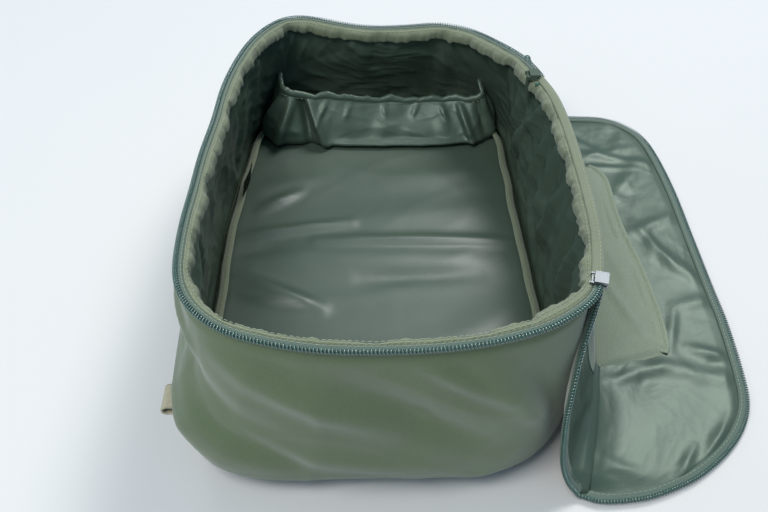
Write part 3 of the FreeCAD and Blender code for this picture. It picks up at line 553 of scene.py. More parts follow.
RIM = relax(spline(RIM_POINTS, AROUND, closed=True), 26)
ROUND = lengths(ring_of(RIM))[:-1]
RIM_XY, RIM_Z = RIM[:, :2], RIM[:, 2]
RIM_T = tangents(RIM, closed=True)
OUT = unit(np.stack([-RIM_T[:, 1], RIM_T[:, 0]], 1))
OUT3 = np.column_stack([OUT, np.zeros(AROUND)])
RIM_UP = unit(np.cross(OUT3, RIM_T) * np.sign(np.cross(OUT3, RIM_T)[:, 2:3]))
BASE_XY = relax(base_point(RIM_XY), 12)
BULGE = (
    2 * np.maximum(-OUT[:, 0], 0) ** 2
    + 3 * np.maximum(OUT[:, 0], 0) ** 2
    + 5 * np.maximum(-OUT[:, 1], 0) ** 2
    + 4 * np.maximum(OUT[:, 1], 0) ** 2
)
HINGE_SPAN = (RIM_XY[:, 0] > 140) & (RIM_XY[:, 1] > -186) & (RIM_XY[:, 1] < 104)


def wall(share, inset, foot):
    """The tub's wall: the rim's outline melts into the foot's, bulges in between, and stands `inset` mm inside."""
    t = np.asarray(share)[:, None]
    go = ease(t)[..., None]
    xy = RIM_XY[None] * (1 - go) + BASE_XY[None] * go
    swell = BULGE[None] * np.sin(np.pi * np.clip(t, 0, 1) ** 1.5)
    xy = xy + OUT[None] * (swell - inset)[..., None]
    z = RIM_Z[None] + (foot - RIM_Z[None]) * t
    return np.concatenate([xy, z[..., None]], -1)


def canvas_push(depth):
    """How far the canvas stands out or in at each point round the rim and `depth` mm down it: listed slack folds,
    smaller drawn ones and a faint overall crumple, all flat at the zip, and pressed in by the hanging lid."""
    hand = [
        (440, 18, 360, 80, 10, -8.0), (400, 12, 330, 46, 8, 6.4), (380, 40, 250, 112, 18, -9.0),
        (300, 26, 170, 84, 15, 8.4), (200, 44, 96, 118, 17, -10.0), (110, 20, 50, 110, 11, 8.2),
        (70, 40, 30, 140, 11, -7.0), (255, 120, 130, 150, 16, 6.0), (400, 95, 300, 150, 14, 7.0),
        (150, 14, 92, 60, 8, 6.6), (330, 90, 240, 140, 12, -7.6), (480, 60, 420, 140, 12, 6.6),
        (540, 60, 600, 150, 24, 4.0), (640, 30, 700, 140, 26, -3.6),
    ]  # fmt: skip
    table = np.vstack(
        [hand, random_creases(3, 44, (0, 10), (1430, 150), (50, 150), (10, 26), (0.5, 1.7), (0.5, 2.4))]
    )
    push = creases(ROUND[None], depth, table) + crinkle(ROUND[None], depth, 4, 70.0, 2.2) - 1.2
    tuck = 2.4 * np.exp(-(((depth - 6) / 3.2) ** 2))
    beside = ease((RIM_XY[:, 1] + 240) / 25) * (1 - ease((RIM_XY[:, 1] - 90) / 30))
    pressed = np.maximum(OUT[:, 0], 0) ** 2 * beside
    pressed = pressed * (4.0 + 3.5 * np.exp(-(((RIM_XY[:, 1] + 165) / 50) ** 2)))
    hang = pressed[None] * ease(depth / 9) * (1 - ease((depth - 85) / 50))
    calm = 1 - 0.6 * ease(pressed[None] / 3.0)
    return np.clip(push, -9.0, 9.0) * ease(depth / 24) * calm - tuck - hang


def floor_edges(y, inset):
    """Where the foot's outline, moved inwards, crosses each y: its left x and its right x."""
    line = BASE_XY - OUT * inset
    found = []
    for side in (line[line[:, 0] < 0], line[line[:, 0] > 0]):
        side = side[np.argsort(side[:, 1])]
        found.append(np.interp(y, side[:, 1], side[:, 0]))
    return found


def trim_line(inset, rise):
    """The rim line moved inwards and up, in mm."""
    return RIM - OUT3 * np.asarray(inset)[..., None] + UP * np.asarray(rise)[..., None]


def run_of(keep):
    """Indices of the longest run of kept points on the closed rim, in order."""
    start = int(np.flatnonzero(keep & ~np.roll(keep, 1))[0])
    order = (np.arange(AROUND) + start) % AROUND
    return order[: int(keep.sum())]


# ---------------------------------------------------------------- the lid's shape


def turn_about(axis, degrees):
    """The rotation about an axis through the origin, by Rodrigues' formula."""
    x, y, z = axis
    cross = np.array([[0, -z, y], [z, 0, -x], [-y, x, 0]])
    angle = math.radians(degrees)
    return np.eye(3) + math.sin(angle) * cross + (1 - math.cos(angle)) * cross @ cross


def lid_at_rest():
    """The turn and shift that take the closed lid, drawn flat, to where it hangs: onto the sloping plane of the rim,
    then round the hinge line by the lid's swing."""
    slope = turn_about((1, 0, 0), -math.degrees(RIM_SLOPE))
    centre = np.array([0, 0, (RIM_NEAR + RIM_FAR) / 2])
    near = centre + slope @ np.array([NEAR_HALF + HINGE_OUT, -LID_HALF, HINGE_UP])
    far = centre + slope @ np.array([FAR_HALF + HINGE_OUT, LID_HALF, HINGE_UP])
    swing = turn_about(unit(far - near), LID_SWING)
    return swing @ slope, near + swing @ (centre - near)


FLANK_TURN, FLANK_SHIFT = lid_at_rest()


def flank_base(x, y, z):
    """A point of the closed lid's flank, turned to where the open lid hangs."""
    p = np.stack(np.broadcast_arrays(x, y, z), -1).astype(float)
    return p @ FLANK_TURN.T + FLANK_SHIFT


def fold_x(y):
    """Where the fold crosses y on the closed lid: there the hanging lining is one lid thickness above the floor."""
    drop = flank_base(0.0, y, LID_LINING_LOW)[..., 2] - (LID_TOP - LID_LINING_LOW)
    return -drop / FLANK_TURN[2, 0]


def lid_end(x):
    """How far the closed lid reaches along y at x, with its rounded corners."""
    over = np.maximum(x - (NEAR_HALF - CORNER), 0)
    return LID_HALF - CORNER + np.sqrt(np.maximum(CORNER**2 - over**2, 0))


def drape_share(y, near):
    """How much of the near edge's drape a point takes: all at the edge, none past y = -60."""
    return np.clip((-60 - y) / (-60 - near), 0, 1.15) ** 1.35


def flank_grid():
    """The hanging part of the lid, its outward normals, and the x and y of its points on the closed lid. Rows go down
    from the hinge to the fold, columns from the near edge to the far one. The flat lid is turned to where it hangs,
    then its near edge is pulled to the line that it hangs in, and the pull fades along the cloth."""
    t = np.linspace(0, 1, FLANK_ROWS)[:, None]
    u = np.linspace(0, 1, FLANK_COLS)[None, :]
    x_top = NEAR_HALF - 11.0
    end = lid_end(x_top + (fold_x(-200.0) - x_top) * t)
    y = -end + 2 * end * u
    x = x_top + (fold_x(y) - x_top) * t
    flat = flank_base(x, y, FLANK_LINING)
    edge = np.array(HANGING_EDGE, float)
    dense = spline(edge, 200)
    target = np.stack([np.interp(t[:, 0], dense[:, 0], dense[:, k]) for k in (1, 2, 3)], 1)
    pull = target - flat[:, 0]
    share = drape_share(flat[..., 1], flat[:, :1, 1])
    droop = ease((flat[..., 1] - 70) / 130) * (1 - t) ** 0.8
    flat = flat + droop[..., None] * np.array([9.0, 0.0, -46.0])
    grid = flat + share[..., None] * pull[:, None, :]
    grid[..., 2] += rounding(grid[..., 1]) * ease((grid[..., 1] + 258) / 14) * np.exp(-(1 - t) * 200 / 22)
    facing = normals_of(grid)
    facing = facing * np.sign(np.sum(facing * np.array([1.0, -0.2, 0.2]), -1, keepdims=True))
    return grid, facing, x, y


FLANK_ANCHOR = tuple(flank_base(60.0, 0.0, FLANK_LINING) * MM)


def flatten_when_closed(piece):
    """Gives a piece of the flank its own copy of its mesh."""
    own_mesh(piece)


def with_lip(grid):
    """The hanging cloth with a short lip that runs on over the flap and dives into it, so the fold has no gap."""
    last = grid[-1]
    climb = rounding(last[:, 1]) * ease((last[:, 1] + 258) / 14)
    lip = []
    for reach, sink in ((3.0, 0.4), (6.0, 0.2), (10.0, -2.4)):
        fall = sink - climb * (1 - np.exp(-reach / 15.0))
        lip.append(last + np.column_stack([np.full(len(last), reach), np.zeros(len(last)), fall]))
    return np.concatenate([grid, np.stack(lip)], 0)


def fold_line(y):
    """The fold's x on the floor at y: straight along the lid, and drawn inwards near its near end."""
    straight = 210.31 - 20.34 * (y + 261.3) / 502.67
    return straight - 56.0 * np.clip((-60 - y) / 197, 0, 1.1) ** 1.35


def rounding(y):
    """How high the cloth climbs where the near end of the fold doesn't lie flat."""
    return 15.0 * ease((-90 - y) / 110)


EDGE = spline(FREE_EDGE, 400)


def flap_grid(rows, cols, inset=0.0):
    """The part of the lid on the floor: rows cross it from the fold to the free edge, closer together at its ends.
    Gives x, y and the share of the way across."""
    v = (1 - np.cos(np.pi * np.linspace(0, 1, rows))) / 2
    line = EDGE.copy()
    t = tangents(line)
    line = line + np.stack([-t[:, 1], t[:, 0]], 1) * inset
    low = int(np.argmin(line[:, 1]))
    y = line[low, 1] + 0.2 + (line[-1, 1] - line[low, 1] - 0.4) * v
    right = np.interp(y, line[low:, 1], line[low:, 0])
    near = line[: low + 1][::-1]
    left = np.where(y < near[-1, 1], np.interp(y, near[:, 1], near[:, 0]), fold_line(y))
    left = np.maximum(left, fold_line(y))
    u = np.linspace(0, 1, cols)
    x = left[:, None] + (right - left)[:, None] * u
    return x, np.broadcast_to(y[:, None], x.shape), u


FLAP_FOLDS = np.vstack(
    [
        [
            (200, -120, 330, -150, 9, 3.5), (192, -150, 262, -128, 6, 4.0), (205, -235, 250, -170, 16, 1.5),
            (225, -215, 300, -120, 20, 1.0), (270, -235, 300, -190, 7, 4.0), (240, -248, 262, -215, 5, 3.5),
            (285, -110, 325, -125, 6, 5.0), (268, -112, 285, -60, 5, 3.0), (262, 40, 318, 70, 7, 4.0),
            (250, 90, 300, 150, 9, 4.5), (282, 20, 322, -30, 8, 4.0), (286, -60, 326, -50, 7, 3.5),
            (230, 175, 320, 150, 6, 3.5), (215, 215, 262, 170, 7, 3.0), (196, 150, 300, 146, 4, 3.2),
            (270, 60, 300, -10, 6, 3.5), (170, -225, 215, -245, 8, 3.0), (300, -215, 318, -150, 8, 2.5),
        ],
        random_creases(7, 26, (200, -240), (320, 220), (25, 70), (4, 9), (0.8, 2.2), (0.2, 2.6)),
    ]
)  # fmt: skip


def flap_height(x, y, u, rise):
    """The flap's lining: it lies on the floor, flat at its sewn edges and crumpled in between."""
    free = np.minimum(u, 1 - u)
    inside = ease(free / 0.12) * ease((y + 262) / 26) * ease((242 - y) / 20)
    fine = crinkle(x, y, 27, 22.0, 0.5) + crinkle(x, y, 28, 60.0, 1.0) - 0.5
    calm = 1 - 0.75 * np.exp(-(((x - 235) / 45) ** 2) - ((y + 190) / 40) ** 2)
    across = u * (x[:, -1:] - x[:, :1])
    climb = rounding(y) * ease((y + 258) / 14) * np.exp(-across / 15.0)
    folds = 0.6 * creases(x, y, FLAP_FOLDS)
    return rise + climb + 0.8 * inside + inside * np.maximum(folds + calm * fine + 1.0, -0.6)


# ---------------------------------------------------------------- settings


def dye_setting(name, text, colour):
    return bpy.props.FloatVectorProperty(name=name, description=text, subtype="COLOR", size=3, default=linear(colour))


def length_setting(name, text, length):
    return bpy.props.FloatProperty(name=name, description=text, unit="LENGTH", default=length * MM)


class BackpackColours(bpy.types.PropertyGroup):
    """The dyes of the backpack's cloths and trims."""

    outer: dye_setting("Canvas", "Dye of the outer canvas", "#596747")
    lining: dye_setting("Lining", "Dye of the coated lining", "#414f43")
    binding: dye_setting("Binding", "Dye of the grosgrain binding", "#71785f")
    tape: dye_setting("Zip tape", "Dye of the zip's tape", "#53645a")
    coil: dye_setting("Zip coil", "Dye of the zip's coil", "#345a50")
    mesh: dye_setting("Mesh", "Dye of the pocket's net", "#828c77")
    webbing: dye_setting("Webbing", "Dye of the loops' webbing", "#b0a88f")
    thread: dye_setting("Thread", "Dye of the sewing thread", "#9aa287")


class BackpackSizes(bpy.types.PropertyGroup):
    """Sizes that a user may want to change."""

    coil_pitch: length_setting("Coil pitch", "Distance between two turns of the zip's coil", 2.6)
    canvas: length_setting("Canvas thickness", "Thickness of the outer canvas", 1.6)
    lining: length_setting("Lining thickness", "Thickness of the lining", 0.6)


def sizes():
    return bpy.context.scene.backpack_sizes


# ---------------------------------------------------------------- stage


class BACKPACK_OT_stage(bpy.types.Operator):
    """Lays the pale floor, hangs the soft lights and sets the camera"""

    bl_idname = "backpack.stage"
    bl_label = "Stage"

    def execute(self, context):
        x, y = np.meshgrid(np.linspace(-6000, 6000, 13), np.linspace(-6000, 6000, 13), indexing="ij")
        floor = surface("floor", np.stack([x, y, np.zeros_like(x)], -1))
        paper, shader = new_material("matte_paper_sweep", Roughness=0.9)
        place = add_node(paper, "ShaderNodeTexCoord")
        fibre = noise(paper, place, 3.0, 2.0)
        tones(paper, shader, (fibre, "Fac"), rgba(linear("#d0cecc")), rgba(linear("#d2d0ce")))
        floor.data.materials.append(paper)

        world = bpy.data.worlds.new("soft_room")
        world.use_nodes = True
        world.node_tree.nodes["Background"].inputs["Color"].default_value = (0.42, 0.7, 1.0, 1.0)
        world.node_tree.nodes["Background"].inputs["Strength"].default_value = 0.4
        context.scene.view_settings.view_transform = "Standard"
        context.scene.world = world

        lights = [
            ("window", (1.15, 1.35, 2.7), (0.05, 0.0, 0.0), 1.1, 72.0, (1.0, 0.99, 0.97)),
            ("overhead", (-1.0, -1.0, 2.6), (0.0, -0.2, 0.0), 1.2, 52.0, (1.0, 1.0, 0.97)),
            ("far_window", (-1.3, 2.0, 1.7), (0.1, 0.0, 0.05), 0.9, 11.0, (0.88, 0.95, 1.0)),
            ("front_fill", (-1.6, -2.4, 1.6), (0.0, 0.0, 0.1), 1.6, 8.0, (1.0, 0.99, 0.96)),
        ]
        for name, at, target, size, power, colour in lights:
            data = bpy.data.lights.new(name, "AREA")
            data.shape, data.size, data.energy, data.color = "SQUARE", size, power, colour
            lamp = bpy.data.objects.new(name, data)
            lamp.location = at
            way = np.array(target) - np.array(at)
            lamp.rotation_euler = (
                math.atan2(math.hypot(way[0], way[1]), -way[2]),
                0.0,
                math.atan2(-way[0], way[1]),
            )
            context.scene.collection.objects.link(lamp)

        pitch, yaw, roll = math.radians(47.0), math.radians(2.55), math.radians(0.82)
        lens = bpy.data.cameras.new("camera")
        lens.sensor_width, lens.lens = CAMERA_SENSOR, CAMERA_LENS
        camera = bpy.data.objects.new("camera", lens)
        context.scene.collection.objects.link(camera)
        forward = np.array([math.sin(yaw) * math.cos(pitch), math.cos(yaw) * math.cos(pitch), -math.sin(pitch)])
        level = np.array([math.cos(yaw), -math.sin(yaw), 0.0])
        upright = np.cross(level, forward)
        right = math.cos(roll) * level + math.sin(roll) * upright
        up = -math.sin(roll) * level + math.cos(roll) * upright
        turn = np.stack([right, up, -forward], 1)
        camera.matrix_world = Matrix.Translation((-0.026, -0.607, 0.675)) @ Matrix(turn.tolist()).to_4x4()
        context.scene.camera = camera
        return {"FINISHED"}


# ---------------------------------------------------------------- tub


class BACKPACK_OT_tub_shell(bpy.types.Operator):
    """Sews the canvas wall of the tub, which bulges between its rim and its rolled foot"""

    bl_idname = "backpack.tub_shell"
    bl_label = "Tub shell"

    def execute(self, context):
        foot_z, curl, low = 36.0, 15.0, 14.6
        top = wall(np.linspace(0.0, 1.0, 48), 0.8, foot_z)
        angle = np.linspace(0, np.pi / 2, 10)[1:, None]
        foot = np.concatenate(
            [
                (BASE_XY - OUT * 0.8)[None] - OUT[None] * (curl * (1 - np.cos(angle)))[..., None],
                np.broadcast_to(foot_z - (foot_z - low) * np.sin(angle), (9, AROUND))[..., None],
            ],
            -1,
        )
        under = foot[-1][None] - OUT3[None] * np.array([4.0, 9.0, 14.0])[:, None, None]
        grid = np.concatenate([top, foot, under], 0)
        push = canvas_push(lengths(grid[:, 0])[:, None])
        lift = np.concatenate([np.full(48, 1.0), np.cos(angle[:, 0]), [0, 0, 0]])[:, None]
        grid = grid + (push * lift)[..., None] * OUT3[None]
        piece = surface("tub_shell", grid, loop_cols=True)
        thicken(piece, sizes().canvas / MM)
        dress(piece, "brushed_polyester_canvas", "shell", ["outer_wall", "wall_foam"])

        # The seam where the wall meets the back panel: one row of thread just above the roll.
        sew("tub_seam_thread", ring_of(grid[46] + OUT3 * 0.3), ring_of(OUT3), "shell")
        return {"FINISHED"}


class BACKPACK_OT_lining(bpy.types.Operator):
    """Hangs the coated lining inside the tub: creased walls, padded floor and the piping between them"""

    bl_idname = "backpack.lining"
    bl_label = "Lining"

    def execute(self, context):
        share = np.linspace(0.035, 1.0, 74)
        grid = wall(share, 6.5, FLOOR_Z)
        down = share[:, None] * 160.0
        right = [  # long slanting folds of the right wall, which the hinge slackens
            (1150, 15, 1110, 120, 7, 11.0), (1185, 20, 1175, 130, 6, 9.0), (1220, 10, 1235, 125, 7, 12.0),
            (1265, 25, 1250, 120, 7, 10.5), (1300, 12, 1320, 110, 6, 10.0), (1345, 20, 1340, 120, 7, 9.0),
            (1380, 15, 1400, 110, 8, 5.0), (1100, 30, 1075, 120, 10, 6.0), (1200, 60, 1260, 100, 8, 5.0),
            (1160, 90, 1200, 140, 9, 5.0),
        ]  # fmt: skip
        fine = crinkle(ROUND[None], down, 14, 26.0, 2.4) + crinkle(ROUND[None], down * 0.5, 15, 60.0, 5.0) - 2.6
        table = np.vstack(
            [
                right,
                random_creases(11, 90, (0, -5), (1430, 60), (60, 130), (4, 12), (1.0, 3.6), (1.35, 1.8)),
                random_creases(12, 40, (0, 30), (1430, 140), (20, 60), (4, 9), (0.6, 2.2), (0.0, 3.1)),
            ]
        )
        loose = ease((1 - share[:, None]) / 0.1) * ease(share[:, None] / 0.08)
        push = (creases(ROUND[None], down, table) + fine) * loose
        gather = wavy(ROUND, 5, (17.0, 23.0, 31.0), 1.6)[None] * (1 - ease(share[:, None] / 0.3))
        inward = np.clip(push + gather, -2.4, 13.0)
        far = ease((RIM_XY[:, 1] - 150) / 60)[None] * np.sin(np.pi * share[:, None]) * 6.0
        follow = canvas_push(down + 4.0) * ease((1 - share[:, None]) / 0.15) * np.minimum(down / 45, 1)
        grid = grid + (follow - inward - far)[..., None] * OUT3[None]
        piece = surface("wall_lining_cloth", grid, loop_cols=True, turned=True)
        thicken(piece, sizes().lining / MM)
        dress(piece, "coated_nylon_lining", "shell", ["wall_lining"])

        v = (1 - np.cos(np.pi * np.linspace(0, 1, 150))) / 2
        y = (-241.5 + 483 * v)[:, None]
        left, right = floor_edges(y, 8.6)
        u = np.linspace(-1, 1, 110)[None]
        x = (left + right) / 2 + (right - left) / 2 * u
        ridges = [
            (-152, 22, -30, 38, 5, 5.5), (-66, 12, 134, 9, 6, 6.5), (-142, -30, -60, -74, 7, 6.0),
            (-154, -46, -80, -70, 8, 4.5), (-126, 62, -84, 86, 6, 4.5), (-120, -8, 110, -14, 22, 5.0),
            (-60, 40, 140, 52, 26, 3.0), (-150, 90, -60, 108, 12, 2.0), (60, -120, 140, -70, 26, 2.5),
            (-100, -150, 20, -170, 30, 2.5), (-20, -40, 90, -34, 9, -2.6), (-150, 0, -100, 4, 8, -2.5),
            (-10, 100, 120, 112, 20, 2.0), (20, -190, 120, -180, 20, 2.0),
        ]  # fmt: skip
        crown = 4.5 * (1 - np.abs(u) ** 5) * ease((241 - np.abs(y)) / 26)
        relief = creases(x, y, ridges) + crinkle(x * 0.45, y, 18, 46.0, 1.2)
        z = FLOOR_Z + 0.4 + crown * 0.8 + relief * (1 - np.abs(u) ** 9) * ease((238 - np.abs(y)) / 20)
        floor = surface("floor_pad", np.stack([x, np.broadcast_to(y, x.shape), z], -1), turned=True)
        thicken(floor, sizes().lining / MM)
        dress(floor, "coated_nylon_over_foam", "shell", ["floor_lining"])

        # Piping round the floor: a folded tape, 10 mm tall, that leans inwards and waves a little.
        line_xy = BASE_XY - OUT * 10.5
        lean = wavy(ROUND, 8, (150.0, 95.0, 61.0), 2.0)
        line = np.column_stack([line_xy, np.full(AROUND, FLOOR_Z + 0.6)])
        inward = -OUT3
        profile = [(-1.2, 0), (1.6, 0), (5.4, 2.6), (9.6, 6.6), (9.4, 8.4), (7.6, 8.4), (1.6, 4.4)]
        path = line + inward * lean[:, None] * 0.5
        piping = sweep("floor_piping", path, inward, np.tile(UP, (AROUND, 1)), profile, closed_path=True)
        dress(piping, "nylon_grosgrain", "shell", ["floor_binding"])
        face = unit(-inward * 0.55 + np.array([0, 0, 0.8]))
        sew("floor_piping_thread", ring_of(path + inward * 6.6 + UP * 8.0), ring_of(face), "shell")
        return {"FINISHED"}


class BACKPACK_OT_rim(bpy.types.Operator):
    """Sews the rim: ruffled binding inside, zip tape on top and the coil along its outer edge"""

    bl_idname = "backpack.rim"
    bl_label = "Rim trim"

    def execute(self, context):
        ruffle = wavy(ROUND, 21, (37.0, 59.0, 97.0), 3.0) + wavy(ROUND, 23, (8.0, 13.0, 19.0), 1.5)
        drop = wavy(ROUND, 22, (29.0, 43.0, 71.0), 2.0) + wavy(ROUND, 24, (7.0, 11.0, 17.0), 1.3)
        near_right = np.exp(-(((RIM_XY[:, 0] - 120) / 45) ** 2) - ((RIM_XY[:, 1] + 225) / 40) ** 2)
        width = 0.82 + 0.25 * np.maximum(OUT[:, 0], 0) + 0.3 * np.maximum(OUT[:, 1], 0) + 0.5 * near_right
        stations = [
            (4.6, 0.2, 0.0), (6.2, 1.5, 0.1), (9.0, 1.0, 0.4), (11.6, -1.2, 0.8), (12.8, -4.4, 1.0), (12.8, -10.0, 1.0),
        ]  # fmt: skip
        seam = 4.2  # how far inside the rim the binding is sewn

        def ruffled(inset, rise, share):
            """The rim line moved to the binding's inset and rise, with a share of its ruffle."""
            return trim_line(seam + (inset - seam) * width + share * ruffle, rise + share * drop)

        grid = np.stack([ruffled(*station) for station in stations], 0)
        binding = surface("rim_ruffle", grid, loop_cols=True)
        thicken(binding, 1.1, smooth_levels=1)
        dress(binding, "nylon_grosgrain", "shell", ["rim_binding"])
        for name, inset, rise in (("rim_ruffle_thread", 6.4, 1.6), ("rim_edge_thread", 9.4, 1.0)):
            sew(name, ring_of(ruffled(inset, rise, 0.2)), ring_of(unit(UP - OUT3 * 0.3)), "shell")

        order = run_of(~HINGE_SPAN)
        path, out, up = RIM[order], OUT3[order], RIM_UP[order]
        tape = sweep(
            "rim_tape_band", path, out, up,
            [(-5.0, 0.0), (-4.8, 1.0), (-3.0, 1.3), (0.2, 0.9), (1.0, -0.4), (0.9, -2.6), (0.2, -2.8), (0.0, -1.0),
             (-3.0, 0.2)],
        )  # fmt: skip
        dress(tape, "woven_zip_tape", "shell", ["rim_zip_tape"])
        coil = zip_coil("rim_coil", path + out * 0.5 + up * 0.9, out, up)
        dress(coil, "polyester_monofilament", "shell", ["rim_zip_coil"])
        sew("rim_tape_thread", path - out * 3.6 + up * 1.3, up, "shell")
        return {"FINISHED"}


class BACKPACK_OT_pouch(bpy.types.Operator):
    """Sews the gusseted pouch against the far wall, with its pleated corners and elastic hem"""

    bl_idname = "backpack.pouch"
    bl_label = "Pouch"

    def execute(self, context):
        foot_points = [
            (-125, 206, 30), (-123, 187, 30), (-112, 171, 30), (-60, 168, 30), (0, 167, 30), (60, 167, 30),
            (118, 169, 30), (126, 184, 30), (126, 206, 30),
        ]  # fmt: skip
        hem_points = [
            (-112, 220, 92), (-108, 204, 88), (-100, 188, 84), (-54, 191, 76), (-10, 193, 70), (26, 194, 68),
            (80, 192, 70), (114, 187, 77), (117, 203, 84), (115, 219, 90),
        ]  # fmt: skip
        foot, hem = spline(foot_points, 150), spline(hem_points, 150)
        t = np.linspace(0, 1, 56)[:, None]
        u = np.linspace(0, 1, 150)[None]
        grid = foot[None] * (1 - t[..., None]) + hem[None] * t[..., None]
        out = unit(np.column_stack([np.gradient(foot[:, 1]), -np.gradient(foot[:, 0]), np.zeros(150)]))
        middle = ease(u / 0.16) * ease((1 - u) / 0.16)
        low = np.clip(t / 0.2, 0, 1)
        belly = 12.0 * (1 - (1 - low) ** 2) * np.clip((1 - t) / 0.8, 0, 1) ** 0.9 * (0.4 + 0.6 * middle)
        wide = 360.0  # the pleats run from (u, height) to (u, height), with u a share of this width
        folds = np.array([
            (0.15, 56, 0.13, 2, 5, 11.0), (0.185, 57, 0.25, 4, 7, -12.0),
            (0.31, 3, 0.21, 57, 4.5, 11.0), (0.79, 57, 0.83, 8, 4, 11.0),
            (0.86, 55, 0.88, 6, 6, -10.0), (0.31, 9, 0.82, 12, 3, 6.0),
            (0.28, 56, 0.25, 30, 3, 4.0), (0.37, 56, 0.36, 40, 3, 3.0),
            (0.5, 57, 0.51, 42, 3, 3.0), (0.63, 57, 0.61, 40, 3, 3.0),
            (0.72, 56, 0.74, 36, 3, 4.0), (0.4, 30, 0.7, 22, 8, 2.5),
            (0.10, 50, 0.08, 6, 4, 6.0), (0.93, 50, 0.95, 6, 4, 6.0),
            (0.33, 50, 0.38, 20, 10, 3.0), (0.6, 52, 0.55, 20, 14, -2.5),
            (0.7, 40, 0.75, 12, 9, 3.0), (0.45, 45, 0.47, 15, 12, -2.0),
        ]) * (wide, 1, wide, 1, 1, 1)  # fmt: skip
        push = creases(u * wide, t * 60, folds) + crinkle(u * wide, t * 90, 37, 70.0, 2.6) - 1.3
        push = push * ease((1 - t) / 0.08) * ease(t / 0.06)
        grid = grid + (belly + push)[..., None] * out[None]
        grid[..., 2] += 2.0 * np.sin(np.pi * t)
        cloth = surface("pouch_cloth", grid)
        thicken(cloth, 0.8)
        dress(cloth, "coated_nylon_lining", "shell", ["pouch_front"])

        along = lengths(hem)
        wave = wavy(along, 31, (24.0, 37.0, 59.0), 2.4)[:, None] + wavy(along, 32, (9.0, 13.0), 0.5)[:, None]
        rows = [(0.0, -3.0, 0.3), (-0.8, 0.5, 0.5), (0.6, 3.4, 0.8), (2.6, 4.6, 1.0), (4.6, 3.4, 1.0)]
        band = np.stack(
            [hem - out * (inset + 0.6 * share * wave) + UP * (rise + share * wave) for inset, rise, share in rows], 0
        )
        elastic = surface("pouch_elastic", band)
        thicken(elastic, 1.0, smooth_levels=1)
        dress(elastic, "coated_nylon_lining", "shell", ["pouch_hem"])
        sew("pouch_thread", hem + out * 1.2 + UP * (0.5 * wave - 1.5), out, "shell")
        return {"FINISHED"}


# ---------------------------------------------------------------- lid


class BACKPACK_OT_lid_flank(bpy.types.Operator):
    """Hangs the part of the lid between the hinge and the fold, with its draped near corner"""

    bl_idname = "backpack.lid_flank"
    bl_label = "Lid flank"

    def execute(self, context):
        inner, facing, x, y = flank_grid()
        down = NEAR_HALF - x
        table = np.vstack(
            [
                [(20, -230, 190, -200, 9, 3.0), (60, -190, 195, -170, 8, 2.5), (130, -240, 200, -150, 10, 3.5)],
                random_creases(17, 30, (0, -240), (200, 230), (25, 70), (5, 10), (0.6, 2.0), (0, 3)),
            ]
        )
        across = np.linspace(0, 1, FLANK_COLS)[None]
        t = np.linspace(0, 1, FLANK_ROWS)[:, None]
        inside = ease(across / 0.05) * ease((1 - across) / 0.05) * ease(t / 0.05) * ease((1 - t) / 0.05)
        puff = inside * np.clip(0.6 * creases(down, y, table), -0.8, 2.6)
        lining = surface("flank_lining_cloth", with_lip(inner + facing * puff[..., None]))
        thicken(lining, sizes().lining / MM, 0.0)
        dress(lining, "coated_nylon_lining", "lid_flank", ["lid_flank_lining"])

        cover_grid = inner - facing * (2.2 + 2.4 * inside)[..., None]
        cover = surface("flank_cover", cover_grid)
        thicken(cover, 1.2, 0.0)
        dress(cover, "brushed_polyester_canvas", "lid_flank", ["lid_flank_cover", "lid_flank_foam"])

        pieces = [lining, cover]
        for side, col in (("near", 0), ("far", -1)):
            path = inner[:, col]
            inward = unit(inner[:, 6 if col == 0 else -7] - path)
            up = facing[:, col]
            tape = sweep(
                f"flank_tape_{side}", path, inward, up,
                [(-1.6, -0.6), (-1.2, 0.9), (2.0, 1.4), (9.5, 1.6), (10.0, 1.0), (9.5, 0.2), (0.5, -1.6),
                 (-1.0, -2.8)],
            )  # fmt: skip
            dress(tape, "woven_zip_tape", "lid_flank", ["lid_flank_tape"])
            coil = zip_coil(f"flank_coil_{side}", path - inward * 1.6 + up * 0.2, inward, up)
            dress(coil, "polyester_monofilament", "lid_flank", ["lid_flank_coil"])
            thread = sew(f"flank_thread_{side}", path + inward * 6.5 + up * 1.6, up, "lid_flank")
            pieces += [tape, coil, thread]
        for piece in pieces:
            flatten_when_closed(piece)

        # The strip of canvas that joins the lid to the rim.
        keep = run_of(HINGE_SPAN)
        rim, out = RIM[keep], OUT3[keep]
        wave = wavy(ROUND[keep], 41, (23.0, 37.0), 0.8)[:, None]
        rows = [
            rim - out * 8.0 + UP * 1.4,
            rim - out * 4.0 + UP * 2.4,
            rim - out * 0.4 + UP * 2.0,
            rim + out * 1.2 - UP * 1.0,
            rim + out * (1.6 + 0.5 * wave) - UP * 8.0,
            rim + out * (1.8 + wave) - UP * 18.0,
        ]
        hinge = surface("hinge_tape", np.stack(rows, 0))
        thicken(hinge, 1.2, smooth_levels=1)
        dress(hinge, "nylon_grosgrain", None, ["hinge_strip"])
        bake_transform(hinge)
        sew("hinge_thread", rim - out * 1.6 + UP * 2.9, np.tile(UP, (len(rim), 1)), "shell")
        return {"FINISHED"}


